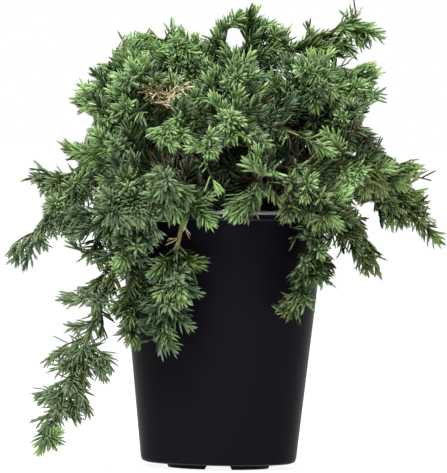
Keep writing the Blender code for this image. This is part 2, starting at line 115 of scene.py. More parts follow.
# --- pot, as in its solid ------------------------------------------------------------------------
RIM_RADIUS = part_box("pot")[1].x
POT_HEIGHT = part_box("pot")[1].z
WALL_TOP_RADIUS = RIM_RADIUS - 3.4 * MM
WALL_FOOT_RADIUS = 54.2 * MM
WALL = 1.4 * MM
LIP_HEIGHT = 3.0 * MM
LIP_ROUNDING = 1.0 * MM
COLLAR_HEIGHT = 7.0 * MM
COLLAR_STEP = 1.0 * MM
BASE_ROUNDING = 3.5 * MM
FOOT_HEIGHT = 3.5 * MM
FOOT_OUTER_RADIUS = 37 * MM
FOOT_INNER_RADIUS = 27 * MM
FOOT_TAPER = 1.0 * MM
CHANNEL_HALF_WIDTH = 7.6 * MM
CHANNEL_SLOPE = 0.5
FOOT_BEVEL = 0.4 * MM
RIM_BEVEL = 0.35 * MM
SMOOTH_BELOW = math.radians(35)
LIP_HIGHLIGHT_AND_WEAR = 4 * MM  # how far down from its top the lip is painted pale, in steps: a painted highlight, with some wear
EDGE_HIGHLIGHT_HEIGHT = 0.9 * MM  # the height of the painted highlight at the collar's edge, above the collar's foot
DRAIN_RADIUS = 4 * MM
DRAIN_RING_RADIUS = 44 * MM
DRAIN_SIDES = 32

# --- mix, trunk and boughs, as in their solids ---------------------------------------------------
MIX_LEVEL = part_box("potting_mix")[1].z
MIX_RINGS = 22
MIX_SIDES = 72
MIX_WAVES = ((160, 1.3), (500, 0.6))  # how fine each wave of its top is, and how high in millimetres
MIX_SUNK = 1.2 * MM  # how far those waves lie below its level, on the whole
CHIP_SHAPE = (1.0, 0.55, 0.28)
CHIP_SIZES = (0.35, 1.0)
CHIP_ROUGHNESS = (0.75, 1.2)
CHIP_TILT = 0.35
CHIP_SUNK = 0.9  # millimetres, at most
TRUNK_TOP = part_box("trunk")[1].z
TRUNK_STEPS = 40
TRUNK_SIDES = 56
TRUNK_RINGS = 72
BOUGH_SIDES = 20
BOUGH_RINGS = 40
TRUNK_FLARE_RADIUS = 11 * MM
TRUNK_RADIUS = 6.5 * MM
TRUNK_TIP_RADIUS = 2.6 * MM
TRUNK_LEAN = Vector((3 * MM, -2 * MM, 0))
FLARE_HEIGHT = 4 * MM
BUTTRESS = 0.5
BOUGH_POINTS = 6
BOUGH_TIP_RADIUS = 1.5 * MM
BOUGH_BASE_RADIUS = 1.9 * MM
BOUGH_THICKENING = 0.010
BOUGH_BEND = 0.45
BOUGH_ROOTED = 2.5 * MM  # how far a bough starts back inside the trunk
# How often furrows and lumps come round a limb, and along each metre of it.
FURROWS = (4.2, 45)
LUMPS = (1.3, 110)
LUMP_SHARE = 0.5  # of the furrows' depth
FULL_RELIEF = 3 * MM  # the radius of a limb below which its furrows get shallower
STEM_SPACING = 2.7 * MM
SHOOT_TURN = math.radians(137.5)
SHOOT_LIFT = (0.05, 0.22)

# --- finer growth --------------------------------------------------------------------------------
STEM_POINTS = 26
SHOOT_POINTS = 7
STEM_SIDES = 7
SHOOT_SIDES = 4
SHOOT_RINGS = 5
ROOTED = 5 * MM  # how far a stem starts back inside its bough
STEM_RADII = (1.15 * MM, 0.5 * MM)
YOUNG_STEM_RADII = (1.8 * MM, 0.7 * MM)
SHOOT_RADII = (0.75 * MM, 0.4 * MM)
TWIG_RADII = (0.5 * MM, 0.32 * MM)
SHOOT_ROOM = 4 * MM  # between a shoot's axis and the pot
SHOOT_CUT = 0.82  # what is left of a shoot each time it's shortened to fit
SHOOT_SHORTEST = 11 * MM
SHOOT_VARIES = (0.72, 1.18)
SHOOT_SPREAD = (36, 56)  # degrees from its stem
SHOOT_AT_BASE = 1.12  # of the length set, for one at the stem's foot
SHOOT_LOSS = 0.62  # of that length, for one at its tip
SHOOT_BOW = 0.12
BEFORE_FIRST = 0.35  # of a spacing, ahead of the first shoot
SPACINGS_SPARE = 0.4
TURN_VARIES = 28  # degrees either way
OLD_WOOD = 0.6  # the share of side shoots whose wood is brown
PLACED_BEND = 0.3
BRANCHES_AGAIN = 30 * MM  # the least length of a shoot that has side twigs
# The bare share next to a stem's bough, a shoot's stem, and so on.
STEM_BARE = 0.1
SHOOT_BARE = 0.06
TWIG_BARE = 0.02
FORK_BARE = 0.2  # of a shoot, before its first side twig
REACH_KEPT = 3 * MM  # how far within its solid's box a shoot ends
# How far apart the shoots on the limbs inside the crown are, and how long at the limb's foot.
TRUNK_SHOOTS = (2.4 * MM, 34 * MM)
BOUGH_SHOOTS = (3.6 * MM, 27 * MM)
CORE_LOW = POT_HEIGHT + 12 * MM  # where the shoots on the trunk begin
CORE_POINTS = 7
CROWN_HEIGHT = 0.19  # of the crown's middle, and how far it reaches from there on each axis
CROWN_REACH = (0.150, 0.135, 0.13)
CROWN_INSIDE = (0.45, 0.72)  # the share of that reach where its inside ends

# --- needles -------------------------------------------------------------------------------------
BRUSH_LENGTH = 11 * MM  # the crowded needles at a shoot's end
BRUSH_SHARE = 0.45  # and the most of its length that they take
BRUSH_SPACING = 1.9 * MM
PAST_END = 0.2  # of a spacing, where the last ring may stand
SPOT_VARIES = 0.35  # of a spacing, for each needle
TIP_SPREAD = math.radians(16)
TIP_SIZE = 0.78  # of a needle at the very tip, as a share of a full-grown one
TIP_NEEDLES = 8.2 * MM  # how far the last needles stand past the end of a shoot
NEEDLE_ROOM = 0.3 * MM  # between a needle and the pot
NEEDLES_ROUND = 3
RING_TURN = math.radians(60)  # from one ring of needles to the next
RING_VARIES = 0.15  # radians either way, for each needle
SPREAD_EASE = 0.8  # the power by which needles open, from a twig's tip down its brush
SPREAD_VARIES = 0.07
# Up a needle, as shares of its length, and its width there, as a share of its whole width.
NEEDLE_RINGS = ((0.10, 0.85), (0.76, 0.90))
NEEDLE_TURN = math.radians(60)
CORNER_REACH = 0.577  # from the middle of a needle's triangle to its corners, at a width of 1
NEEDLE_VARIES = (0.8, 1.12)
NEEDLE_SLIMS = 0.25  # how much of its width goes with its length
NEEDLE_DEPTH = 0.55  # as a share of its width
NEEDLE_CURVE = 0.07  # how far its tip turns in, as a share of its length
NEEDLE_MIDDLE = 0.6  # where a needle is tested for room besides its tip
INNER_FACING = 0.5  # cosine of the angle to its flat side within which a face has the pale band
# From its tip, the share of a brush whose needles are new, and the newest.
FRESH_END = 0.85
BUD_END = 0.4
PALER_NEEDLES = 0.24  # the share of needles that are a step paler than their shoot, and so on
DARKER_NEEDLES = 0.28
OLD_PART = 0.4  # of a twig, next to its root
OLD_NEEDLES = 0.35  # how many more of the needles there are darker
DEAD = ("straw", "rust")
DEAD_SIZE = 0.9  # of a dead needle, as a share of a live one
DEAD_WIDTH = 0.62  # and how wide it is, as a share of one
DEAD_SPACING = 5.0  # how many times as far apart dead needles are
DEAD_BLOOM = 0.25
BAND_DEPTH = (0.35, 1.6)  # how bright the pale band is on black, and how much more on green
TINTS = (
    "shade", "deep", "dusk", "green", "leaf", "blue", "silver", "olive", "moss", "fresh", "bud", *DEAD,
)
# The tints a step paler and a step darker than each, where there is one.
PALER = {
    "shade": "deep", "deep": "green", "dusk": "blue", "green": "leaf", "blue": "silver",
    "olive": "moss", "leaf": "fresh", "fresh": "bud", "rust": "straw",
}
DARKER = {
    "green": "deep", "leaf": "green", "blue": "dusk", "silver": "blue", "olive": "deep",
    "moss": "olive", "fresh": "leaf", "bud": "fresh",
}
# The number of each tint's step, in the order of TINTS.
STEPS = {
    way: np.array([TINTS.index(step.get(tint, tint)) for tint in TINTS])
    for way, step in (("paler", PALER), ("darker", DARKER))
}
TWIG_TINTS = ("old_twig", "young_twig", "dead_twig")
# What a shoot's needles may be, with how often each turns up, and how often its end is fresh growth.
Family = namedtuple("Family", "tints fresh")
FAMILIES = {
    "crown": Family({"green": 5, "leaf": 3, "deep": 2, "blue": 2}, 0.36),
    "olive": Family({"olive": 5, "moss": 2, "green": 2, "deep": 1}, 0.16),
    "blue": Family({"blue": 5, "green": 3, "dusk": 2, "olive": 2}, 0.12),
    "silver": Family({"silver": 5, "blue": 2, "olive": 1, "green": 1}, 0.06),
    # The shaded and inner families are painted shade: dark tints for shoots in the crown's recesses and
    # inside it, some of them dull old needles.
    "shaded": Family({"deep": 5, "dusk": 2, "shade": 2, "green": 1}, 0.05),
    "inner": Family({"shade": 6, "deep": 3, "dusk": 2}, 0.0),
}

# A spray ends at a compass bearing (degrees from +X towards +Y), a reach from the pot's axis and a
# height, both in millimetres. Its stem goes on in its bough's line for that share of its length.
Spray = namedtuple("Spray", "name bearing reach height bend family", defaults=(0.35, "crown"))
# A bough runs from a height on the trunk to its fork, and carries its sprays there.
Bough = namedtuple("Bough", "name start bearing reach height sprays")

BOUGHS = (
    Bough("left_low", 183, 181, 48, 200, (
        Spray("far_left", 184, 145, 141, 0.45, "silver"),
        Spray("left_outer", 177, 135, 199, 0.35, "blue"),
    )),
    Bough("left_trailing", 178, 222, 79, 189, (
        Spray("trailing_left", 202, 132, 14, 0.04, "silver"),
        Spray("left_under", 199, 99, 143, 0.25, "blue"),
        Spray("left_beside_pot", 226, 80, 88, 0.05, "blue"),
    )),
    Bough("front_left", 188, 230, 48, 201, (
        Spray("left_fore", 207, 126, 220),
        Spray("front_left_low", 232, 128, 176, 0.45, "blue"),
        Spray("front_low_left", 254, 133, 200, 0.35, "blue"),
    )),
    Bough("front_hanging", 182, 253, 80, 189, (
        Spray("hanging_front", 242, 88, 82, 0.08, "blue"),
    )),
    Bough("front_right", 190, 296, 48, 202, (
        Spray("front_low", 281, 134, 203),
        Spray("front_right_low", 306, 130, 176, 0.45, "olive"),
        Spray("right_front", 334, 130, 206, 0.35, "olive"),
    )),
    Bough("right_trailing", 178, 324, 82, 189, (
        Spray("hanging_right", 304, 86, 106, 0.1, "olive"),
        Spray("right_under", 344, 100, 136, 0.2, "olive"),
    )),
    Bough("right_low", 184, 0, 50, 201, (
        Spray("right_outer", 3, 145, 202, 0.35, "olive"),
        Spray("far_right", 353, 148, 164, 0.45, "olive"),
        Spray("back_right_low", 32, 134, 191, 0.45, "olive"),
    )),
    Bough("back_low", 187, 76, 48, 200, (
        Spray("back_right_far", 60, 134, 184, 0.45, "olive"),
        Spray("back_far", 91, 133, 206),
    )),
    Bough("back_trailing", 180, 104, 82, 189, (
        Spray("hanging_back", 99, 90, 106, 0.1, "blue"),
    )),
    Bough("back_left", 185, 140, 48, 200, (
        Spray("back_left_far", 123, 134, 208),
        Spray("back_left_low", 152, 136, 180, 0.45, "silver"),
    )),
    Bough("left_high", 200, 196, 30, 223, (
        Spray("left_shoulder", 180, 100, 254),
        Spray("left_cheek", 214, 106, 240, 0.45),
        Spray("left_crest", 171, 82, 284),
        Spray("left_brow", 222, 84, 270),
    )),
    Bough("front_high", 206, 274, 28, 223, (
        Spray("front_cheek", 243, 106, 234, 0.45),
        Spray("front_face", 272, 108, 240, 0.45),
        Spray("front_brow", 300, 106, 233, 0.45, "shaded"),
        Spray("front_crest", 276, 72, 280),
        Spray("front_middle", 264, 121, 218, 0.5),
    )),
    Bough("right_high", 203, 350, 30, 225, (
        Spray("right_cheek", 329, 106, 238, 0.45, "shaded"),
        Spray("right_shoulder", 358, 107, 262),
        Spray("right_crest", 2, 106, 302, 0.25),
        Spray("right_brow", 326, 76, 280),
    )),
    Bough("back_high", 209, 92, 28, 224, (
        Spray("right_back_shoulder", 36, 108, 240, 0.45),
        Spray("back_shoulder", 74, 106, 246, 0.45),
        Spray("back_cheek", 111, 106, 240, 0.45),
        Spray("left_back_shoulder", 147, 108, 244, 0.45),
        Spray("back_crest", 86, 72, 282),
    )),
)
TOP = "top"
TOP_SPRAYS = (
    Spray("left_top", 172, 53, 300, 0.3),
    Spray("highest_tip", 320, 20, 318, 0.4),
    Spray("right_top", 13, 92, 313, 0.25),
)
# Where sky shows between the boughs from the front: across, height and radius, in millimetres, on
# the upright plane through the pot's axis.
SKY = (
    (5, 300, 5.6), (28, 297, 2.8), (-14, 303, 3.5), (-14, 308, 4.2), (-24, 309, 4.2), (-43, 297, 3.5),
    (-57, 305, 3.5), (-46, 303, 3.5), (50, 307, 4.2), (43, 313, 4.2), (73, 314, 7.0), (101, 317, 4.9),
    (107, 295, 2.8), (97, 325, 3.5), (66, 310, 3.5), (36, 318, 3.5), (15, 325, 2.8), (103, 321, 4.9),
    (87, 283, 4.2), (96, 284, 2.1), (80, 284, 2.8), (107, 239, 2.8), (112, 230, 2.8), (100, 242, 3.5),
    (104, 253, 2.1), (104, 246, 4.2), (134, 225, 7.0), (112, 242, 6.3), (117, 224, 4.2), (128, 221, 4.2),
    (136, 199, 3.5), (149, 185, 4.9), (148, 193, 3.5), (154, 169, 2.8), (140, 218, 2.8), (141, 203, 4.9),
    (151, 201, 5.6), (116, 270, 4.2), (112, 263, 2.1), (101, 181, 4.9), (105, 171, 4.2), (108, 163, 4.9),
    (86, 122, 6.3), (132, 159, 4.9), (123, 160, 4.2), (109, 157, 3.5), (112, 142, 2.8), (87, 146, 4.2),
    (75, 125, 2.8), (78, 150, 2.8), (72, 120, 3.5), (82, 144, 3.5), (-123, 215, 8.4), (-133, 217, 5.6),
    (-72, 304, 3.5), (92, 325, 2.8), (-50, 307, 2.8), (110, 269, 2.8), (99, 177, 2.1), (44, 310, 2.1),
    (-114, 214, 3.5), (-104, 208, 2.8), (-110, 206, 3.5), (-137, 213, 4.2), (-139, 175, 11.8),
    (-134, 208, 3.5), (-130, 185, 2.8), (-141, 163, 5.6), (-135, 161, 3.5), (-145, 157, 2.8),
    (-149, 155, 3.5), (-140, 201, 3.5), (-95, 240, 4.2), (-100, 242, 2.8), (-100, 228, 2.8),
    (-107, 245, 4.2), (-106, 229, 4.2), (-122, 125, 9.0), (-105, 134, 6.3), (-98, 131, 4.9),
    (-109, 124, 4.2), (-89, 133, 2.8), (-94, 107, 3.5), (-91, 136, 2.8), (-103, 147, 3.5), (-103, 105, 3.5),
    (-123, 85, 6.3), (-107, 85, 3.5), (-128, 60, 3.5), (-127, 36, 2.8), (-79, 43, 7.7), (-137, 19, 5.6),
    (-81, 82, 3.5), (-96, 85, 2.8), (-119, 57, 2.8), (-124, 53, 2.8), (-103, 27, 2.8), (-84, 173, 2.8),
    (-103, 20, 2.8), (-97, 140, 2.8), (-84, 291, 4.2), (-55, 312, 5.6), (-85, 284, 4.2), (-98, 270, 2.8),
    (-76, 296, 3.5), (-30, 312, 3.5), (145, 214, 4.2), (125, 220, 4.9), (96, 317, 2.8), (-41, 312, 3.5),
    (109, 253, 3.5), (10, 325, 4.2), (28, 319, 4.2), (-138, 192, 4.2), (-133, 190, 3.5), (-101, 232, 2.8),
    (98, 314, 2.8), (-116, 61, 2.8), (-148, 136, 2.8), (-81, 295, 2.8), (-92, 152, 2.8), (-91, 161, 2.1),
    (-67, 126, 2.8), (79, 161, 2.1), (88, 158, 2.8), (-76, 94, 3.5), (149, 177, 3.5), (-105, 125, 2.8),
    (-107, 87, 3.5), (-118, 222, 3.5), (-124, 77, 2.8), (-78, 98, 3.5), (-113, 85, 2.8), (128, 165, 2.8),
    (5, 292, 2.1),
)
# Where the crown is hollow from the front, or the pot's wall shows, in the same way: no needle
# stands in front of HOLLOW_BACK there.
HOLLOWS = (
    (-31, 211, 4.9), (-21, 213, 5.6), (-8, 206, 5.6), (2, 205, 7.7), (5, 217, 4.9), (46, 237, 6.3),
    (48, 224, 7.0), (40, 218, 4.2), (57, 227, 4.2), (38, 194, 4.9), (-54, 209, 4.2), (52, 240, 5.6),
    (43, 210, 5.6), (-47, 244, 6.3), (-54, 246, 4.9), (-40, 247, 4.9), (-59, 248, 3.5), (-52, 238, 3.5),
    (15, 200, 5.6), (23, 198, 4.9), (12, 194, 3.5), (30, 200, 4.2), (55, 218, 4.9), (61, 108, 4.2),
    (-46, 214, 4.9), (-28, 204, 4.2), (54, 154, 4.9), (-23, 241, 3.5), (-17, 237, 4.2), (-5, 240, 2.8),
    (-22, 170, 3.5), (19, 205, 2.8), (38, 144, 4.9), (33, 134, 6.3), (30, 121, 7.7), (28, 108, 9.0),
    (39, 98, 5.6), (50, 97, 4.9), (41, 127, 2.8), (43, 152, 4.2), (-51, 82, 4.9), (-53, 89, 2.8),
    (-52, 73, 6.3), (-43, 70, 3.5), (-14, 131, 3.5), (40, 159, 5.6), (46, 164, 3.5), (47, 144, 5.6),
    (43, 136, 4.2), (-42, 167, 3.5), (-41, 211, 3.5), (-14, 230, 2.8), (14, 222, 4.2), (12, 228, 2.8),
    (39, 255, 3.5), (-43, 256, 3.5), (-9, 248, 2.8), (-55, 105, 2.8), (-12, 150, 2.8), (-11, 202, 4.2),
    (-22, 200, 4.2), (-32, 201, 2.8), (-7, 197, 3.5), (-20, 205, 2.8),
)
HOLLOW_BACK = -45 * MM
# Shoots placed one by one, by the spray whose stem they leave. They give the crown its outline and its
# facing rosettes. Each has the percentage of the stem's length where it starts, where it ends in
# millimetres, and its tint, with a 1 if its end is fresh. Its middle may be bowed across and up.
# The rows tinted shade or deep fill the crown's hollows and gaps with painted shade.
Placed = namedtuple("Placed", "start x y z tint fresh across up", defaults=(0, 0, 0))
PLACED = {
    "trailing_left": (
        (96, -107, -72, 26, "leaf", 1), (20, -90, -56, 139, "blue"), (84, -93, -58, 33, "silver", 0, 2, 2),
        (46, -80, -60, 89, "olive", 0, 2, 2), (62, -116, -48, 80, "silver", 0, 0, 4),
        (68, -119, -56, 67, "silver", 0, 0, 4), (66, -86, -60, 66, "silver", 0, 2, 3),
        (64, -75, -58, 62, "silver", 0, 4, 4), (78, -95, -66, 36, "silver", 0, 2, 2),
        (80, -99, -62, 31, "olive", 0, 2, 2), (72, -93, -68, 43, "silver", 0, 2, 3),
        (92, -114, -56, 12, "silver"), (90, -119, -50, 14, "silver"),
        (78, -127, -48, 45, "silver", 0, 0, 3), (56, -117, -56, 76, "silver"),
        (62, -113, -66, 66, "silver"), (68, -97, -70, 47, "silver"), (76, -119, -60, 44, "silver"),
        (86, -118, -62, 22, "silver"), (62, -93, -64, 54, "olive"), (54, -99, -66, 74, "silver"),
        (32, -101, -56, 119, "silver"), (38, -114, -52, 114, "silver"), (50, -108, -52, 95, "silver"),
        (58, -125, -48, 72, "silver", 0, -2, 6), (73, -130, -46, 48, "silver", 0, 0, 3),
        (83, -128, -48, 29, "silver"), (92, -126, -50, 13, "silver", 1),
        (60, -71, -58, 67, "silver", 0, 5, 5), (61, -77, -62, 61, "silver", 0, 5, 5),
        (72, -87, -56, 34, "silver", 0, 4, 3), (66, -104, -76, 51, "silver"), (80, -110, -72, 36, "silver"),
        (30, -75, -66, 120, "olive"), (24, -93, -60, 122, "olive"), (44, -91, -64, 105, "silver"),
    ),
    "right_top": (
        (80, 90, 10, 287, "green"), (96, 102, 14, 296, "green"), (66, 88, 2, 286, "olive"),
        (90, 100, 12, 295, "green"), (62, 87, 4, 288, "green"), (56, 79, 2, 292, "green"),
        (30, 30, 0, 262, "deep"), (40, 41, 4, 267, "deep"), (94, 87, 22, 321, "leaf", 1, 4, 0),
        (86, 113, 18, 302, "leaf", 1, 0, 2), (92, 104, 20, 308, "leaf", 1, 0, -1),
        (90, 98, 14, 298, "green"), (70, 74, 12, 308, "olive"), (80, 84, 8, 296, "olive"),
        (76, 79, 0, 290, "straw"), (30, 36, 8, 273, "deep"), (68, 59, 12, 313, "deep"),
        (72, 94, 8, 290, "olive", 0, 0, 2), (50, 49, 20, 296, "green"), (60, 73, 0, 294, "olive"),
        (90, 83, 0, 302, "leaf", 1),
    ),
    "left_crest": (
        (90, -42, -6, 304, "leaf", 1), (80, -68, -4, 296, "leaf", 1), (80, -88, 4, 280, "green", 1),
        (90, -90, 8, 280, "leaf"), (10, -32, -4, 218, "deep"), (84, -66, 4, 296, "leaf", 1),
        (66, -67, -16, 282, "leaf", 1), (52, -54, -44, 276, "green", 1), (45, -93, -5, 275, "leaf", 1),
        (40, -97, -30, 265, "green", 1), (72, -87, 10, 278, "green", 1), (78, -73, 5, 292, "leaf", 1),
        (55, -60, -45, 282, "leaf"), (90, -40, -30, 290, "leaf", 1),
    ),
    "right_shoulder": (
        (90, 104, -30, 257, "leaf", 1), (70, 86, -44, 255, "leaf", 1), (16, 41, -6, 216, "shade"),
        (30, 54, -30, 230, "shade"), (80, 100, -12, 253, "green", 1), (20, 45, -10, 216, "shade"),
        (62, 98, -26, 271, "leaf", 1), (70, 104, -14, 264, "leaf", 1), (55, 94, -34, 253, "green", 1),
        (80, 85, -58, 238, "leaf", 1),
    ),
    "far_left": (
        (40, -105, -10, 208, "green"), (60, -115, -32, 183, "leaf", 1), (55, -110, -34, 176, "leaf"),
        (50, -108, -30, 156, "blue"), (56, -111, -28, 162, "blue"), (48, -105, -32, 159, "blue"),
        (64, -118, -26, 157, "silver"), (76, -124, -22, 148, "silver"),
        (82, -151, -12, 145, "silver", 0, -2, 2), (80, -137, -16, 135, "blue", 0, 2, 0),
        (62, -130, -24, 156, "silver"), (50, -112, -28, 167, "blue"), (40, -105, -30, 179, "silver"),
        (50, -97, -40, 201, "leaf", 1),
    ),
    "right_front": (
        (70, 67, -70, 241, "green", 1), (50, 81, -66, 236, "green"), (60, 88, -88, 204, "moss", 1),
        (70, 99, -80, 207, "fresh", 1), (64, 92, -86, 199, "leaf", 1), (80, 114, -62, 190, "moss"),
        (24, 43, -30, 225, "deep"), (20, 36, -32, 220, "deep"), (34, 53, -38, 225, "shade"),
        (44, 62, -40, 229, "shade"), (30, 47, -40, 222, "shade"), (70, 102, -74, 189, "moss"),
        (86, 128, -50, 196, "olive", 1), (45, 84, -92, 192, "olive"), (30, 59, -106, 188, "leaf", 1),
    ),
    "right_brow": (
        (80, 87, -60, 241, "leaf", 1), (85, 64, -70, 248, "leaf"), (90, 78, -62, 259, "leaf", 1),
        (90, 62, -62, 271, "leaf", 1), (10, 42, -14, 222, "shade"), (60, 40, -30, 272, "green"),
        (70, 73, -40, 279, "olive"), (36, 33, -30, 266, "deep"), (62, 75, -58, 274, "blue"),
        (80, 50, -66, 280, "green", 1), (50, 67, -72, 260, "olive"), (80, 77, -30, 294, "leaf", 1),
    ),
    "far_right": (
        (50, 113, -44, 183, "leaf"), (62, 143, -8, 195, "olive", 1), (62, 140, -8, 191, "olive", 1),
        (70, 141, -10, 185, "moss"), (80, 143, -12, 180, "olive"), (10, 60, -4, 221, "shade"),
        (20, 89, -50, 184, "olive"), (90, 154, -18, 157, "olive"), (78, 141, -24, 165, "olive"),
        (70, 142, -8, 176, "olive"), (60, 127, -30, 169, "olive"), (50, 119, -34, 168, "moss", 1),
        (42, 112, -34, 168, "olive"), (30, 99, -60, 192, "green"), (60, 108, -48, 211, "leaf", 1),
    ),
    "right_cheek": (
        (80, 81, -64, 248, "leaf", 1), (86, 87, -60, 246, "leaf", 1), (90, 103, -52, 233, "green"),
        (20, 46, -16, 223, "shade"), (24, 52, -20, 224, "shade"), (40, 60, -20, 225, "shade"),
        (30, 56, -14, 225, "deep"), (75, 73, -40, 228, "deep"), (62, 99, -58, 245, "green", 1),
        (78, 101, -56, 231, "blue"), (88, 119, -46, 212, "deep"), (70, 88, -74, 222, "deep"),
    ),
    "front_face": (
        (66, 32, -110, 225, "green", 1), (80, 5, -118, 247, "fresh", 1), (75, 12, -116, 241, "leaf", 1),
        (65, 0, -114, 237, "leaf", 1), (70, 7, -116, 245, "leaf", 1), (60, 26, -112, 229, "blue"),
        (50, 26, -112, 210, "green", 1),
    ),
    "front_middle": (
        (80, -10, -126, 217, "leaf", 1), (70, -8, -124, 218, "leaf", 1), (60, -23, -112, 223, "blue"),
        (100, -2, -136, 191, "leaf", 1),
    ),
    "front_cheek": (
        (90, -34, -118, 222, "leaf", 1), (80, -42, -114, 227, "leaf", 1), (80, -37, -114, 232, "leaf", 1),
        (70, -27, -114, 228, "leaf", 1), (72, -43, -108, 229, "leaf", 1), (60, -35, -104, 242, "green", 1),
    ),
    "left_top": (
        (60, -37, -28, 290, "leaf", 1), (90, -66, 2, 298, "leaf", 1), (90, -59, 2, 295, "green"),
        (30, -18, -10, 296, "green"), (36, -15, -4, 298, "green"), (30, -31, -34, 272, "green", 1),
        (22, -20, -36, 266, "blue"), (62, -59, -18, 289, "green", 1), (50, -50, -34, 283, "green"),
        (40, -42, -32, 281, "leaf", 1), (46, -73, -10, 286, "green", 1), (80, -64, 0, 299, "green", 1),
        (88, -48, 10, 292, "green"), (50, -36, -8, 304, "leaf", 1), (42, -23, -15, 304, "leaf", 1),
        (60, -38, -20, 299, "green", 1), (32, -16, 0, 289, "blue"), (25, -8, -18, 279, "green"),
        (90, -17, -34, 286, "leaf", 1),
    ),
    "left_beside_pot": (
        (20, -58, -98, 151, "leaf", 1), (10, -48, -98, 153, "blue"), (62, -71, -76, 103, "olive"),
        (56, -73, -74, 105, "olive"), (80, -69, -76, 94, "olive"), (18, -74, -82, 156, "blue"),
        (50, -64, -84, 97, "olive"), (42, -68, -82, 114, "olive"), (72, -62, -84, 84, "olive"),
        (28, -71, -88, 140, "leaf", 1), (36, -54, -84, 144, "blue"), (20, -63, -88, 155, "blue"),
        (50, -76, -84, 142, "leaf", 1),
    ),
    "front_left_low": (
        (50, -42, -108, 160, "silver"), (80, -63, -116, 168, "silver"), (60, -56, -116, 171, "silver"),
        (50, -46, -114, 171, "silver"), (40, -49, -104, 163, "deep"), (45, -48, -104, 183, "silver"),
        (55, -54, -114, 176, "silver"), (55, -60, -112, 178, "blue"), (72, -75, -102, 165, "blue"),
        (35, -69, -104, 196, "olive"),
    ),
    "hanging_front": (
        (40, -47, -94, 140, "olive"), (38, -10, -90, 138, "olive"), (50, -29, -108, 130, "silver"),
        (30, -37, -86, 155, "straw"), (22, -20, -86, 165, "straw"), (12, -22, -84, 176, "rust"),
        (88, -30, -82, 80, "blue"), (64, -36, -100, 111, "blue"), (48, -24, -98, 136, "blue"),
        (6, -4, -96, 173, "green"), (38, -8, -88, 144, "olive"), (42, -49, -86, 129, "blue"),
        (52, -13, -90, 119, "blue"), (58, -52, -82, 106, "blue"), (56, -29, -104, 126, "blue"),
        (68, -19, -86, 96, "blue"), (76, -47, -80, 91, "green"), (56, -24, -96, 113, "leaf", 1),
        (50, -26, -104, 119, "leaf", 1),
    ),
    "front_low": (
        (30, 7, -110, 172, "leaf", 1), (20, 3, -104, 178, "leaf", 1), (45, 15, -122, 179, "green"),
        (30, 15, -100, 172, "olive"), (20, 9, -96, 182, "olive"), (55, 39, -112, 185, "olive"),
    ),
    "front_low_left": (
        (14, -6, -104, 168, "leaf", 1), (50, -40, -116, 173, "blue"), (60, -34, -120, 182, "silver"),
        (42, -42, -110, 178, "blue"), (30, -31, -106, 181, "deep"), (20, -10, -98, 173, "green"),
        (30, -22, -112, 188, "green"), (60, -37, -138, 199, "silver"), (40, -31, -112, 173, "leaf", 1),
        (80, -43, -120, 188, "leaf", 1),
    ),
    "front_right_low": (
        (40, 45, -106, 172, "olive"), (50, 53, -100, 174, "olive"), (70, 68, -96, 163, "deep"),
    ),
    "left_brow": (
        (52, -53, -92, 261, "rust"), (44, -38, -98, 250, "straw"), (4, -17, -30, 214, "shade"),
        (36, -33, -98, 260, "straw"), (40, -45, -92, 263, "rust"), (30, -25, -92, 267, "straw"),
        (62, -44, -70, 272, "green"), (55, -77, -78, 272, "leaf", 1), (80, -67, -70, 282, "leaf", 1),
    ),
    "hanging_right": (
        (80, 52, -82, 112, "olive"), (50, 77, -66, 136, "olive", 0, 2, 4), (10, 74, -62, 165, "olive"),
        (50, 75, -68, 133, "olive", 0, 2, 3), (60, 71, -72, 130, "green", 0, 2, 2),
        (26, 77, -64, 137, "olive"), (30, 56, -88, 161, "olive"), (45, 54, -88, 142, "green"),
        (55, 63, -78, 130, "deep"), (72, 58, -80, 119, "olive"),
    ),
    "left_cheek": (
        (75, -77, -74, 231, "green"), (20, -33, -30, 214, "shade"), (16, -38, -36, 214, "shade"),
        (10, -35, -34, 216, "shade"), (62, -66, -80, 252, "leaf", 1), (50, -52, -90, 247, "green"),
        (80, -81, -72, 239, "green", 1),
    ),
    "highest_tip": (
        (90, 4, -8, 318, "green", 0, 0, 3), (62, 41, -14, 307, "green", 0, 2, 3),
        (50, 50, -14, 297, "green", 0, 2, 4), (50, 34, -18, 292, "green"),
        (40, -8, -2, 311, "blue", 0, -6, 0), (60, 41, -14, 302, "green", 0, 2, 3),
        (46, 17, -18, 296, "deep"), (56, 22, -20, 307, "green"), (40, 21, -34, 282, "blue"),
        (42, 14, -8, 318, "green", 1, -15, 8), (34, -4, -4, 314, "blue", 0, -7, 0),
        (80, 23, -6, 323, "green", 1), (66, 36, -16, 314, "blue", 1, 1, 3),
        (52, 44, -12, 304, "green", 0, 2, 4), (44, 30, -30, 291, "deep"),
    ),
    "left_outer": (
        (70, -127, -6, 188, "blue"), (82, -130, -10, 190, "blue"), (80, -135, -2, 195, "blue"),
        (62, -124, -20, 191, "olive"),
    ),
    "left_under": (
        (30, -78, -64, 151, "green"), (90, -109, -44, 156, "blue"), (28, -109, -50, 174, "blue"),
        (40, -102, -52, 165, "blue"), (34, -79, -68, 154, "green"), (30, -103, -62, 158, "blue"),
        (24, -84, -72, 169, "silver"), (50, -107, -50, 162, "blue"), (72, -95, -56, 145, "deep"),
        (35, -89, -70, 175, "green"), (82, -81, -58, 140, "deep"),
    ),
    "left_shoulder": (
        (80, -101, -14, 264, "leaf", 1), (12, -26, -14, 215, "shade"), (70, -101, -20, 250, "leaf", 1),
        (42, -59, -10, 228, "deep"), (36, -83, -34, 263, "leaf", 1), (30, -71, -50, 260, "green"),
        (62, -105, -12, 257, "leaf", 1), (50, -100, -25, 246, "green", 1),
    ),
    "right_crest": (
        (96, 92, -4, 288, "green", 0, 0, 2), (10, 38, -8, 221, "shade"),
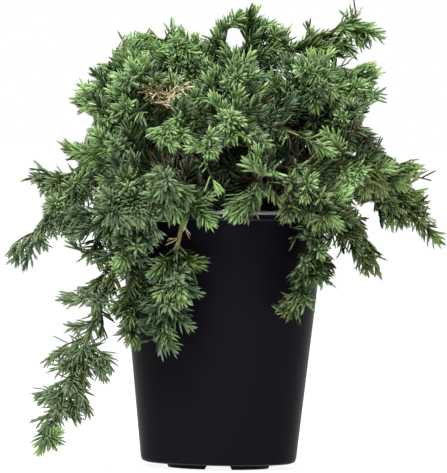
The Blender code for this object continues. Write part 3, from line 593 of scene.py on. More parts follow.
        (90, 106, -4, 284, "leaf", 1, 0, 2), (42, 84, -14, 277, "green"), (34, 74, -18, 281, "blue"),
        (50, 110, -6, 280, "leaf", 1, 0, 2), (44, 104, -12, 272, "leaf", 1), (36, 87, -30, 270, "green", 1),
    ),
    "back_right_low": (
        (6, 42, 16, 226, "shade"), (10, 48, 20, 228, "deep"), (16, 53, 6, 230, "shade"),
        (10, 51, 10, 223, "shade"), (22, 63, 10, 227, "deep"),
    ),
    "right_outer": (
        (10, 53, 4, 220, "shade"), (26, 66, -4, 223, "shade"), (66, 133, -6, 211, "leaf", 1),
        (72, 139, -10, 211, "leaf", 1), (50, 122, -20, 183, "olive"), (34, 96, -60, 204, "straw"),
    ),
    "back_left_far": (
        (26, -33, 36, 216, "deep"), (60, -60, 60, 222, "deep"), (20, -39, 30, 220, "shade"),
    ),
    "right_back_shoulder": (
        (70, 58, 40, 228, "shade"), (86, 72, 40, 227, "deep"), (90, 108, 40, 221, "deep"),
    ),
    "left_fore": (
        (20, -51, -40, 220, "shade"), (45, -91, -84, 234, "leaf", 1), (62, -107, -62, 218, "leaf", 1),
        (35, -79, -96, 227, "green"),
    ),
    "right_under": (
        (90, 104, -42, 135, "olive"), (52, 103, -42, 141, "olive"), (28, 101, -46, 163, "moss", 0, 0, 3),
        (44, 109, -38, 149, "olive", 0, 2, 4), (50, 112, -34, 135, "olive", 0, 3, 4),
        (50, 94, -60, 146, "deep"), (40, 85, -66, 146, "deep"), (20, 92, -66, 172, "olive"),
    ),
    "back_cheek": (
        (14, -16, 20, 220, "shade"),
    ),
    "back_shoulder": (
        (90, 26, 70, 263, "deep"),
    ),
    "front_crest": (
        (70, -14, -66, 274, "green"), (60, -23, -84, 256, "leaf", 1), (62, 1, -80, 270, "blue", 1),
        (80, 32, -78, 274, "blue"), (50, -13, -88, 257, "green"), (90, 14, -70, 270, "leaf", 1),
    ),
    "back_left_low": (
        (80, -118, 40, 183, "fresh", 1),
    ),
    "front_brow": (
        (60, 78, -92, 220, "leaf", 1), (80, 47, -104, 218, "leaf", 1),
    ),
}
# The bare share of a stem next to its bough, where it isn't STEM_BARE.
BARE = {"hanging_front": 0.34, "trailing_left": 0.16}
# How many times as far apart the shoots of a stem are, where they show sky between them.
OPEN = {
    "trailing_left": 30, "far_left": 6, "left_outer": 1.6, "left_under": 2.2, "left_beside_pot": 1.7,
    "right_top": 5, "right_crest": 2.4, "highest_tip": 5, "left_top": 1.5, "hanging_front": 1.5,
    "hanging_right": 1.4, "right_under": 4, "far_right": 2.2, "right_outer": 1.5, "left_fore": 1.5,
}
# How far the middle of a stem is bowed across and up, in millimetres, and what is left of one that
# stops short of its solid's tip.
BOWED = {"trailing_left": (8, 3), "highest_tip": (5, 0), "left_outer": (0, -7)}
SHORTENED = {"right_crest": 0.62, "right_under": 0.72}
# These stems show, and are young and olive.
YOUNG_STEMS = ("hanging_front", "trailing_left")

# --- camera, floor and lamps ---------------------------------------------------------------------
VIEW_DISTANCE = 5.05  # from the camera to the pot's axis
VIEW_HEIGHT = 0.279
FRAME_WIDTH = 0.3110  # what the frame spans at the pot's axis
SENSOR = 36.0
AIM = Vector((0.8 * MM, 0, 160.65 * MM))
FLOOR_REACH = 20
FLOOR_DROP = 0.05 * MM
FAR = 60
# The setting that gives each lamp its power, its width and its place.
LAMPS = {"front_lamp": ("key", 1.2, (-0.7, -1.7, 1.9)), "top_lamp": ("top", 1.0, (0.15, 0.2, 1.9))}
LAMPS_AIM = UP * 0.2


# --- settings ------------------------------------------------------------------------------------
def strength_setting(name, description, default, unit="NONE"):
    return FloatProperty(name=name, description=description, default=default, min=0, unit=unit)


def length_setting(name, description, default):
    return strength_setting(name, description, default, "LENGTH")


def angle_setting(name, description, degrees):
    return FloatProperty(
        name=name, description=description, default=math.radians(degrees), subtype="ANGLE"
    )


def colour_setting(name, description, default):
    return FloatVectorProperty(
        name=name, description=description, default=default, size=3, min=0, max=1, subtype="COLOR"
    )


def share_setting(name, description, default):
    return FloatProperty(
        name=name, description=description, default=default, min=0, max=1, subtype="FACTOR"
    )


class JuniperPot(bpy.types.PropertyGroup):
    """The nursery pot."""

    colour: colour_setting("Plastic", "Colour of the moulded plastic", (0.0078, 0.0075, 0.0108))
    # The pale of the lip and of the collar's edge: a painted highlight, with some wear on the lip.
    highlight_and_scuff: colour_setting("Scuffs", "Colour of the worn lip", (0.62, 0.60, 0.63))
    roughness: share_setting("Roughness", "Roughness of the wall", 0.34)
    sides: IntProperty(name="Sides", description="Faces round the pot", default=128, min=16, max=256)


class JuniperMix(bpy.types.PropertyGroup):
    """The potting mix."""

    dark: colour_setting("Dark", "Moist fines", (0.018, 0.011, 0.007))
    light: colour_setting("Light", "Dry bark fibre", (0.10, 0.062, 0.036))
    chips: IntProperty(name="Chips", description="Bark chips on the mix", default=520, min=0, max=900)
    chip: length_setting("Chip size", "Length of a bark chip", 4.5 * MM)


class JuniperWood(bpy.types.PropertyGroup):
    """The trunk and the boughs."""

    dark: colour_setting("Furrows", "Colour between the strips of bark", (0.035, 0.018, 0.010))
    light: colour_setting("Strips", "Colour of the peeling strips", (0.19, 0.105, 0.058))
    relief: length_setting("Relief", "Depth of the furrows", 0.45 * MM)


class JuniperFoliage(bpy.types.PropertyGroup):
    """The twigs and the needles."""

    needle: length_setting("Needle length", "Length of a full-grown needle", 12.5 * MM)
    width: length_setting("Needle width", "Width of a needle at its widest", 2.0 * MM)
    whorl: length_setting("Whorl spacing", "Between one ring of needles and the next", 2.7 * MM)
    spread: angle_setting("Needle spread", "Angle between a needle and its shoot", 50)
    shoot: length_setting("Shoot length", "Length of a shoot at the foot of its stem", 32 * MM)
    spacing: length_setting("Shoot spacing", "Between shoots on a stem", 4.6 * MM)
    twig: length_setting("Twig length", "Length of a side twig of a shoot", 19 * MM)
    twig_spacing: length_setting("Twig spacing", "Between side twigs on a shoot", 15 * MM)
    bloom: share_setting("Bloom", "How much of the pale band shows on a needle's inner face", 0.34)
    pale: colour_setting("Band", "Colour of the pale band", (0.540, 0.720, 0.400))
    # Shade, deep and dusk darken the needles inside the crown and in its hollows: painted shade, with some
    # dull old needles among them.
    shade: colour_setting("Shade", "Dull brown needles inside the crown", (0.140, 0.118, 0.082))
    deep: colour_setting("Deep", "Shaded old needles", (0.026, 0.047, 0.015))
    dusk: colour_setting("Dusk", "Shaded bluish needles", (0.044, 0.081, 0.039))
    green: colour_setting("Green", "Full-grown needles", (0.116, 0.210, 0.064))
    leaf: colour_setting("Leaf", "Lighter full-grown needles", (0.160, 0.288, 0.088))
    blue: colour_setting("Blue", "Bluish full-grown needles", (0.132, 0.226, 0.108))
    silver: colour_setting("Silver", "Pale greyish needles", (0.192, 0.246, 0.134))
    olive: colour_setting("Olive", "Older yellowish needles", (0.138, 0.190, 0.060))
    moss: colour_setting("Moss", "Lighter yellowish needles", (0.207, 0.258, 0.085))
    fresh: colour_setting("Fresh", "New needles", (0.218, 0.372, 0.114))
    bud: colour_setting("Bud", "The newest needles at a tip", (0.285, 0.445, 0.155))
    straw: colour_setting("Straw", "Dead needles", (0.740, 0.580, 0.360))
    rust: colour_setting("Rust", "Dead brown needles", (0.170, 0.090, 0.045))
    old_twig: colour_setting("Old twig", "Brown older twigs", (0.058, 0.046, 0.020))
    young_twig: colour_setting("Young twig", "Olive younger twigs", (0.27, 0.245, 0.085))
    dead_twig: colour_setting("Dead twig", "Twigs of dead shoots", (0.42, 0.30, 0.16))


class JuniperStage(bpy.types.PropertyGroup):
    """The floor, the light and the camera."""

    floor: colour_setting("Floor", "Colour of the floor", (0.25, 0.25, 0.25))
    glow: strength_setting("Glow", "How strongly the floor is lit from below", 0.90)
    sky: strength_setting("Sky", "Strength of the soft light all round", 0.5)
    key: strength_setting("Key", "Power of the front lamp", 60, "POWER")
    top: strength_setting("Top", "Power of the lamp overhead", 30, "POWER")
    distance: length_setting("Distance", "From the camera to the pot's axis", VIEW_DISTANCE)
    eye: length_setting("Eye height", "Height of the camera", VIEW_HEIGHT)
    roll: angle_setting("Roll", "Turn of the camera about its own line of sight", 1)


# --- meshes --------------------------------------------------------------------------------------
def linked(name, data):
    obj = bpy.data.objects.new(name, data)
    bpy.context.scene.collection.objects.link(obj)
    return obj


def kept(name, data, materials, replaced):
    """Puts a finished piece in the scene, on its body, standing for those solids of the frame."""
    obj = linked(name, data)
    for material in materials:
        data.materials.append(material)
    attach(obj, BODY)
    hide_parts(*replaced)
    return obj


def mesh_of(name, shape):
    mesh = bpy.data.meshes.new(name)
    shape.to_mesh(mesh)
    shape.free()
    return mesh


def joined(name, points, triangles, finishes):
    """One mesh of many small things, from their points, triangles and each triangle's finish."""
    mesh = bpy.data.meshes.new(name)
    mesh.vertices.add(len(points))
    mesh.vertices.foreach_set("co", np.ascontiguousarray(points, np.float32).ravel())
    mesh.loops.add(3 * len(triangles))
    mesh.loops.foreach_set("vertex_index", np.ascontiguousarray(triangles, np.int32).ravel())
    mesh.polygons.add(len(triangles))
    mesh.polygons.foreach_set("loop_start", np.arange(0, 3 * len(triangles), 3, dtype=np.int32))
    mesh.polygons.foreach_set("material_index", np.ascontiguousarray(finishes, np.int32))
    mesh.update(calc_edges=True)
    return mesh


def template(shape):
    """A small shape as arrays of points and triangles, to be repeated."""
    bmesh.ops.triangulate(shape, faces=shape.faces)
    shape.verts.index_update()
    points = np.array([vert.co[:] for vert in shape.verts])
    triangles = np.array([[vert.index for vert in face.verts] for face in shape.faces])
    shape.free()
    return points, triangles


def repeated(points, triangles):
    """The triangles of copies of a template, given the points of all the copies."""
    copies, corners = points.shape[:2]
    offsets = (np.arange(copies) * corners)[:, None, None]
    return points.reshape(-1, 3), (triangles[None] + offsets).reshape(-1, 3)


def unit_tube(sides, rings):
    """A closed tube of radius 1 from z = 0 to z = 1."""
    shape = bmesh.new()
    bmesh.ops.create_cone(
        shape, cap_ends=True, segments=sides, radius1=1, radius2=1, depth=1,
        matrix=Matrix.Translation((0, 0, 0.5)),
    )
    upright = [edge for edge in shape.edges if abs(edge.verts[0].co.z - edge.verts[1].co.z) > 0.5]
    bmesh.ops.subdivide_edges(shape, edges=upright, cuts=rings - 2, use_grid_fill=True)
    return shape


# --- curves and places ---------------------------------------------------------------------------
def at(bearing, reach, height):
    """The point at a compass bearing in degrees, a reach and a height in millimetres."""
    turn = math.radians(bearing)
    return Vector((math.cos(turn) * reach, math.sin(turn) * reach, height)) * MM


def curved(start, control, end, count):
    """count points on the parabola from start to end that leaves and arrives towards control."""
    points = []
    for step in range(count):
        t = step / (count - 1)
        points.append(start * (1 - t) ** 2 + control * 2 * t * (1 - t) + end * t * t)
    return points


def bowed(across, up):
    """What to add to a curve's control so that its middle moves that far, in millimetres."""
    return Vector((across, 0, up)) * 2 * MM


def length_of(path):
    return sum((b - a).length for a, b in zip(path, path[1:]))


def point_along(path, share):
    """The point at that share of the path's length, and the direction there."""
    left = share * length_of(path)
    for a, b in zip(path, path[1:]):
        step = (b - a).length
        if left <= step:
            return a.lerp(b, left / step), (b - a).normalized()
        left -= step
    return path[-1].copy(), (path[-1] - path[-2]).normalized()


def side_of(direction, roll):
    """A unit vector square to direction, turned by roll from the most upright one."""
    level = direction.cross(UP)
    if level.length < NEARLY_UPRIGHT:
        level = direction.cross(Vector((0, 1, 0)))
    level.normalize()
    return level.cross(direction) * math.cos(roll) + level * math.sin(roll)


def turn_about(direction, point):
    """How far round the direction a point lies, from its most upright side."""
    return math.atan2(point.dot(side_of(direction, math.pi / 2)), point.dot(side_of(direction, 0)))


def wall_radius(height):
    """The outer radius of the pot's wall at a height."""
    low, high = FOOT_HEIGHT + BASE_ROUNDING, POT_HEIGHT - COLLAR_HEIGHT
    return WALL_FOOT_RADIUS + (WALL_TOP_RADIUS - WALL_FOOT_RADIUS) * (height - low) / (high - low)


def trunk_axis(height):
    share = (height - MIX_LEVEL) / (TRUNK_TOP - MIX_LEVEL)
    return TRUNK_LEAN * share * share + UP * height


def trunk_radius(height, turn):
    """Its radius at a height and a bearing: a flared foot with three low buttresses, and a taper."""
    share = (height - MIX_LEVEL) / (TRUNK_TOP - MIX_LEVEL)
    flare = (TRUNK_FLARE_RADIUS - TRUNK_RADIUS) * math.exp((MIX_LEVEL - height) / FLARE_HEIGHT)
    straight = TRUNK_RADIUS + (TRUNK_TIP_RADIUS - TRUNK_RADIUS) * share
    return straight + flare * (1 + BUTTRESS * math.cos(3 * turn))


def bough_path(bough):
    """A limb that leaves the trunk's side level, and curves to its fork."""
    fork = at(bough.bearing, bough.reach, bough.height)
    outwards = at(bough.bearing, 1000, 0).normalized()
    start = trunk_axis(bough.start * MM)
    start += outwards * (trunk_radius(bough.start * MM, math.radians(bough.bearing)) + GAP)
    control = start + outwards * BOUGH_BEND * (fork - start).length
    return curved(start, control, fork, BOUGH_POINTS)


def stem_paths(carrier, sprays):
    """The stems leave the tip of the limb that carries them, side by side and in line with it, and
    bend to their own tips. Each starts a little way back inside the limb."""
    fork, direction = carrier[-1], (carrier[-1] - carrier[-2]).normalized()
    tips = {spray: at(spray.bearing, spray.reach, spray.height) for spray in sprays}
    in_turn = sorted(tips, key=lambda spray: turn_about(direction, tips[spray] - fork))
    share = math.tau / len(in_turn)
    turns = [
        turn_about(direction, tips[spray] - fork) - index * share
        for index, spray in enumerate(in_turn)
    ]
    first = math.atan2(sum(map(math.sin, turns)), sum(map(math.cos, turns)))
    offset = STEM_SPACING / (2 * math.sin(share / 2)) if len(in_turn) > 1 else 0
    paths = {}
    for index, spray in enumerate(in_turn):
        start = fork + direction * GAP + side_of(direction, first + index * share) * offset
        reach = (tips[spray] - start).length
        control = start + direction * reach * spray.bend
        control += bowed(*BOWED.get(spray.name, (0, 0)))
        stem = curved(start, control, tips[spray], STEM_POINTS)
        stem = stem[:round(STEM_POINTS * SHORTENED.get(spray.name, 1))]
        paths[spray] = [fork - direction * ROOTED, *stem]
    return paths


def clear_of_pot(points, room):
    """Which of the points keep that much room from the pot, the mix and the ground."""
    radius = np.hypot(points[:, 0], points[:, 1])
    height = points[:, 2]
    by_collar = height > POT_HEIGHT - COLLAR_HEIGHT - room
    beside = radius > np.where(by_collar, RIM_RADIUS, wall_radius(height)) + room
    inside = (radius < WALL_TOP_RADIUS - WALL - room) & (height > MIX_LEVEL + room)
    return (height > room) & (beside | inside | (height > POT_HEIGHT + room))


def in_view(points, discs):
    """Which of the points lie behind or in front of one of the discs, from the camera."""
    nearness = VIEW_DISTANCE / (VIEW_DISTANCE + points[:, 1])
    across = points[:, 0] * nearness
    height = VIEW_HEIGHT + (points[:, 2] - VIEW_HEIGHT) * nearness
    hidden = np.zeros(len(points), bool)
    for x, z, radius in discs:
        hidden |= np.hypot(across - x * MM, height - z * MM) < radius * MM
    return hidden


def left_open(points):
    """Which of the points lie where sky shows, or in front of a hollow of the crown."""
    return in_view(points, SKY) | (in_view(points, HOLLOWS) & (points[:, 1] < HOLLOW_BACK))


# --- finishes ------------------------------------------------------------------------------------
class Value:
    """A shader socket in Python sums: a + b, 1 - mask and the like add their Math nodes."""

    def __init__(self, finish, socket):
        self.finish = finish
        self.socket = socket

    def maths(self, operation, first, second):
        settings = {"operation": operation}
        return self.finish.node("ShaderNodeMath", settings, {0: first, 1: second})

    def __add__(self, other):
        return self.maths("ADD", self, other)

    def __sub__(self, other):
        return self.maths("SUBTRACT", self, other)

    def __rsub__(self, other):
        return self.maths("SUBTRACT", other, self)

    def __mul__(self, other):
        return self.maths("MULTIPLY", self, other)

    def __truediv__(self, other):
        return self.maths("DIVIDE", self, other)

    __radd__ = __add__
    __rmul__ = __mul__


class Finish:
    """A Principled material, and the nodes that feed it."""

    def __init__(self, name, colour, roughness, **uniform):
        self.material = bpy.data.materials.new(name)
        self.material.use_nodes = True
        self.nodes = self.material.node_tree.nodes
        self.shader = self.nodes["Principled BSDF"]
        self.feed(self.shader, {"Base Color": (*colour, 1), "Roughness": roughness})
        self.feed(self.shader, {key.replace("_", " "): value for key, value in uniform.items()})

    def feed(self, node, inputs):
        for key, value in inputs.items():
            if isinstance(value, Value):
                self.material.node_tree.links.new(value.socket, node.inputs[key])
            else:
                node.inputs[key].default_value = value

    def node(self, kind, settings, inputs, output=0):
        """Any node: its settings come first, then the values or links of its sockets."""
        node = self.nodes.new(kind)
        for key, value in settings.items():
            if key == "stops":
                ramp = node.color_ramp.elements
                for index, (place, grey) in enumerate(value):
                    stop = ramp[index] if index < 2 else ramp.new(place)
                    stop.position = place
                    stop.color = (grey, grey, grey, 1)
            else:
                setattr(node, key, value)
        self.feed(node, inputs)
        return Value(self, node.outputs[output])

    def place(self, stretch=(1, 1, 1)):
        """Object coordinates, stretched along the axes."""
        coordinates = self.node("ShaderNodeTexCoord", {}, {}, "Object")
        return self.node("ShaderNodeMapping", {}, {"Vector": coordinates, "Scale": stretch})

    def cloud(self, scale, detail, stretch=(1, 1, 1)):
        inputs = {"Vector": self.place(stretch), "Scale": scale, "Detail": detail}
        return self.node("ShaderNodeTexNoise", {}, inputs)

    def steps(self, value, *stops):
        return self.node("ShaderNodeValToRGB", {"stops": stops}, {0: value})

    def mixed(self, share, first, second):
        inputs = {0: share, 6: (*first, 1), 7: (*second, 1)}
        return self.node("ShaderNodeMix", {"data_type": "RGBA"}, inputs, 2)

    def drive(self, key, value):
        self.feed(self.shader, {key: value})

    def bump(self, height, depth, strength):
        inputs = {"Height": height, "Distance": depth, "Strength": strength}
        self.drive("Normal", self.node("ShaderNodeBump", {}, inputs))


def pot_finish(settings):
    """Satin black plastic: faint mottling, and painted highlights: a pale band round the lip's top, partly
    wear, and a thin band at the collar's edge.
    """
    finish = Finish("pot_plastic", settings.colour, settings.roughness, Specular_IOR_Level=0.01)
    height = finish.node("ShaderNodeSeparateXYZ", {}, {0: finish.place()}, 2)
    # The lip's pale band is a painted highlight on its bead, with some wear.
    up_lip = (height - (POT_HEIGHT - LIP_HIGHLIGHT_AND_WEAR)) / LIP_HIGHLIGHT_AND_WEAR
    lip = finish.steps(up_lip, (0.40, 0.0), (0.46, 0.72), (0.66, 0.76), (0.74, 1.0))
    # The thin pale band at the collar's edge is a painted highlight.
    up_collar = height - (POT_HEIGHT - COLLAR_HEIGHT + EDGE_HIGHLIGHT_HEIGHT)
    from_edge = finish.node("ShaderNodeMath", {"operation": "ABSOLUTE"}, {0: up_collar})
    edge = finish.steps(from_edge / MM, (0.2, 0.06), (0.7, 0.0))
    highlight_and_wear = (lip + edge) * finish.steps(finish.cloud(60, 4), (0.22, 0.55), (0.6, 1.0))
    finish.drive("Base Color", finish.mixed(highlight_and_wear, settings.colour, settings.highlight_and_scuff))
    mottled = finish.cloud(38, 5)
    finish.drive("Roughness", settings.roughness - 0.07 + mottled * 0.14)
    finish.bump(finish.cloud(9, 2) * 0.6 + finish.cloud(900, 3) * 0.02, 1.6 * MM, 0.5)
    return finish.material


def mix_finish(name, settings, light_share):
    """Moist composted bark: dark fines with paler fibre."""
    finish = Finish(name, settings.dark, 0.95, Specular_IOR_Level=0.2)
    grain = finish.steps(finish.cloud(420, 6), (0.35, 0.0), (0.75, light_share))
    finish.drive("Base Color", finish.mixed(grain, settings.dark, settings.light))
    finish.bump(finish.cloud(700, 6), 0.6 * MM, 0.8)
    return finish.material


def bark_finish(settings):
    """Thin bark that peels in strips: long streaks, with dark furrows between them."""
    finish = Finish("bark", settings.light, 0.85, Specular_IOR_Level=0.25)
    streaks = finish.cloud(260, 6, (1, 1, 0.18))
    flakes = finish.cloud(90, 3)
    share = finish.steps(streaks * 0.7 + flakes * 0.3, (0.36, 0.0), (0.62, 1.0))
    finish.drive("Base Color", finish.mixed(share, settings.dark, settings.light))
    finish.bump(streaks, 0.5 * MM, 0.7)
    return finish.material


def foliage_finishes(settings):
    """Two plain finishes for each tint: its outer faces, and its inner ones with the pale band."""
    finishes = []
    for tint in TINTS:
        outer = Vector(getattr(settings, tint))
        bloom = settings.bloom * (DEAD_BLOOM if tint in DEAD else 1)
        band = Vector(settings.pale) * (BAND_DEPTH[0] + BAND_DEPTH[1] * outer.y)
        inner = outer.lerp(band, bloom)
        for part, colour in (("outer", outer), ("inner", inner)):
            made = Finish(f"needle_{tint}_{part}", colour, 0.5, Specular_IOR_Level=0.14)
            finishes.append(made.material)
    return finishes


# --- pieces --------------------------------------------------------------------------------------
def spun(profile, sides, closed=True):
    """A profile, given as radius and height, turned once round the Z axis."""
    shape = bmesh.new()
    corners = [shape.verts.new((radius, 0, height)) for radius, height in profile]
    ends = corners[1:] + corners[:1] if closed else corners[1:]
    edges = [shape.edges.new(pair) for pair in zip(corners, ends)]
    bmesh.ops.spin(
        shape, geom=corners + edges, cent=(0, 0, 0), axis=UP, dvec=(0, 0, 0),
        angle=math.tau, steps=sides, use_merge=True, use_duplicate=False,
    )
    bmesh.ops.remove_doubles(shape, verts=shape.verts, dist=MERGED)
    bmesh.ops.dissolve_degenerate(shape, edges=shape.edges, dist=MERGED)
    bmesh.ops.recalc_face_normals(shape, faces=shape.faces)
    return shape


def rounded(shape, offset, segments, sharper_than):
    """Bevels the edges that turn by more than that angle."""
    sharp = [
        edge for edge in shape.edges
        if edge.is_manifold and edge.calc_face_angle() > math.radians(sharper_than)
    ]
    bmesh.ops.bevel(
        shape, geom=sharp, offset=offset, offset_type="OFFSET", segments=segments, profile=0.5,
        affect="EDGES", material=-1, clamp_overlap=True,
    )
    return shape


def pot_profile():
    """Radius and height down the outside from the lip, across the floor, and up the inside."""
    foot = FOOT_HEIGHT
    collar_foot = POT_HEIGHT - COLLAR_HEIGHT
    collar_radius = WALL_TOP_RADIUS + COLLAR_STEP
    slant = BASE_ROUNDING * (1 - math.sqrt(0.5))
    return [
        (RIM_RADIUS - LIP_ROUNDING, POT_HEIGHT),
        (RIM_RADIUS, POT_HEIGHT - LIP_ROUNDING),
        (RIM_RADIUS, POT_HEIGHT - LIP_HEIGHT),
        (collar_radius, POT_HEIGHT - LIP_HEIGHT),
        (collar_radius, collar_foot),
        (WALL_TOP_RADIUS, collar_foot - COLLAR_STEP),
        (WALL_FOOT_RADIUS, foot + BASE_ROUNDING),
        (WALL_FOOT_RADIUS - slant, foot + slant),
        (WALL_FOOT_RADIUS - BASE_ROUNDING, foot),
        (0, foot),
        (0, foot + WALL),
        (WALL_FOOT_RADIUS - BASE_ROUNDING, foot + WALL),
        (wall_radius(foot + 2 * BASE_ROUNDING) - WALL, foot + 2 * BASE_ROUNDING),
        (WALL_TOP_RADIUS - WALL, collar_foot),
        (WALL_TOP_RADIUS - WALL, POT_HEIGHT - LIP_ROUNDING),
        (WALL_TOP_RADIUS - WALL + LIP_ROUNDING, POT_HEIGHT),
    ]


def foot_shape(quarter, sides):
    """One of the four feet: the ring under the pot, cut by the channels on either side of it."""
    top = FOOT_HEIGHT + WALL / 2
    profile = [
        (FOOT_OUTER_RADIUS, top),
        (FOOT_OUTER_RADIUS, FOOT_HEIGHT),
        (FOOT_OUTER_RADIUS - FOOT_TAPER, 0),
        (FOOT_INNER_RADIUS + FOOT_TAPER, 0),
        (FOOT_INNER_RADIUS, FOOT_HEIGHT),
        (FOOT_INNER_RADIUS, top),
    ]
    shape = spun(profile, sides)
    for across in (Vector((1, 0, 0)), Vector((0, 1, 0))):
        cut = bmesh.ops.bisect_plane(
            shape, geom=[*shape.verts, *shape.edges, *shape.faces], dist=MERGED / 10,
            plane_co=across * CHANNEL_HALF_WIDTH + UP * FOOT_HEIGHT,
            plane_no=across + UP * CHANNEL_SLOPE, clear_inner=True,
        )["geom_cut"]
        bmesh.ops.contextual_create(
            shape, geom=[item for item in cut if isinstance(item, bmesh.types.BMEdge)]
        )
    rounded(shape, FOOT_BEVEL, segments=2, sharper_than=40)
    turned = Matrix.Rotation(quarter * math.pi / 2, 3, "Z")
    bmesh.ops.rotate(shape, verts=shape.verts, cent=(0, 0, 0), matrix=turned)
    return shape


def with_drains(pot):
    """Cuts a drain hole through the floor at the end of each channel."""
    cutters = bpy.data.collections.new("drains")
    for quarter in range(4):
        turn = quarter * math.pi / 2
        place = Vector((math.sin(turn), math.cos(turn), 0)) * DRAIN_RING_RADIUS
        place.z = FOOT_HEIGHT
        shape = bmesh.new()
        bmesh.ops.create_cone(
            shape, cap_ends=True, segments=DRAIN_SIDES, radius1=DRAIN_RADIUS, radius2=DRAIN_RADIUS,
            depth=8 * WALL, matrix=Matrix.Translation(place),
        )
        name = f"drain_{quarter}"
        cutters.objects.link(bpy.data.objects.new(name, mesh_of(name, shape)))
    bpy.context.scene.collection.children.link(cutters)
    cut = pot.modifiers.new("drains", "BOOLEAN")
    cut.operand_type = "COLLECTION"
    cut.collection = cutters
    cut.solver = "EXACT"
    graph = bpy.context.evaluated_depsgraph_get()
    mesh = bpy.data.meshes.new_from_object(pot.evaluated_get(graph))
    pot.modifiers.clear()
    for cutter in list(cutters.objects):
        bpy.data.objects.remove(cutter, do_unlink=True)
    bpy.data.collections.remove(cutters)
    return mesh


def make_pot(settings):
    body = linked("pot_body", mesh_of("pot_body", spun(pot_profile(), settings.sides)))
    whole = bmesh.new()
    whole.from_mesh(with_drains(body))
    bpy.data.objects.remove(body, do_unlink=True)
    rounded(whole, RIM_BEVEL, segments=3, sharper_than=24)
    for quarter in range(4):
        whole.from_mesh(mesh_of("foot", foot_shape(quarter, settings.sides)))
    mesh = mesh_of("nursery_pot", whole)
    mesh.shade_smooth()
    mesh.set_sharp_from_angle(angle=SMOOTH_BELOW)
    return kept("nursery_pot", mesh, [pot_finish(settings)], ["pot"])


def make_mix(settings):
    """The mix fills the pot, with an uneven top and bark chips strewn over it."""
    edge = wall_radius(MIX_LEVEL) - WALL - GAP
    floor = FOOT_HEIGHT + WALL + GAP
    top = [(edge * step / MIX_RINGS, MIX_LEVEL) for step in range(MIX_RINGS + 1)]
    profile = [*top, (WALL_FOOT_RADIUS - BASE_ROUNDING - 2 * GAP, floor), (0, floor)]
    shape = spun(profile, MIX_SIDES)
    for vert in shape.verts:
        if vert.co.z > MIX_LEVEL - MM:
            rise = sum(noise.noise(vert.co * fine) * high for fine, high in MIX_WAVES)
            vert.co.z += rise * MM - MIX_SUNK
    mesh = mesh_of("potting_mix_bed", shape)
    mesh.shade_smooth()
    fines = [mix_finish("mix_fines", settings, 0.7)]
    kept("potting_mix_bed", mesh, fines, ["potting_mix"])

    rng = np.random.default_rng(7)
    chip = bmesh.new()
    bmesh.ops.create_icosphere(chip, subdivisions=1, radius=0.5)
    points, triangles = template(chip)
    count = settings.chips
    reach = (edge - settings.chip) * np.sqrt(rng.uniform(0.0, 1.0, count))
    bearing = rng.uniform(0, math.tau, count)
    sizes = settings.chip * rng.uniform(*CHIP_SIZES, (count, 1)) * CHIP_SHAPE
    rough = points[None] * sizes[:, None] * rng.uniform(*CHIP_ROUGHNESS, (count, len(points), 1))
    turns = np.array([
        Matrix.Rotation(turn, 3, "Z") @ Matrix.Rotation(tilt, 3, "X")
        for turn, tilt in zip(rng.uniform(0, math.tau, count), rng.normal(0, CHIP_TILT, count))
    ])
    placed = np.einsum("nij,nkj->nki", turns, rough)
    height = MIX_LEVEL - CHIP_SUNK * MM + rng.uniform(0, CHIP_SUNK, count) * MM
    placed += np.stack((reach * np.cos(bearing), reach * np.sin(bearing), height), axis=1)[:, None]
    finishes = np.repeat(rng.integers(0, 2, count), len(triangles))
    mesh = joined("bark_chips", *repeated(placed, triangles), finishes)
    colours = [mix_finish("chip_dark", settings, 0.45), mix_finish("chip_light", settings, 1.0)]
    return kept("bark_chips", mesh, colours, ["potting_mix"])


def frames_along(path):
    """A place and a frame at each point of the path, as matrices with Z along it."""
    frames = []
    side = side_of((path[1] - path[0]).normalized(), 0)
    for index, point in enumerate(path):
        ahead = path[min(index + 1, len(path) - 1)] - path[max(index - 1, 0)]
        along = ahead.normalized()
        side = (side - along * side.dot(along)).normalized()
        turned = Matrix((side, along.cross(side), along)).transposed().to_4x4()
        frames.append(Matrix.Translation(point) @ turned)
    return frames


def limb_mesh(name, path, radius, sides, rings, relief):
    """A limb with bark relief: long furrows that wander round it, and a few lumps."""
    frames = frames_along([point_along(path, step / (rings - 1))[0] for step in range(rings)])
    shape = unit_tube(sides, rings)
    length = length_of(path)
    for vert in shape.verts:
        share = vert.co.z
        turn = math.atan2(vert.co.y, vert.co.x)
        round_it = Vector((math.cos(turn), math.sin(turn), 0))
        furrows, lumps = (
            noise.noise(round_it * across + UP * share * length * along)
            for across, along in (FURROWS, LUMPS)
        )
        size = radius(share, turn)
        size += relief * min(1, size / FULL_RELIEF) * (furrows + LUMP_SHARE * lumps)
        vert.co = frames[round(share * (rings - 1))] @ (round_it * size)
    bmesh.ops.recalc_face_normals(shape, faces=shape.faces)
    mesh = mesh_of(name, shape)
    mesh.shade_smooth()
    return mesh


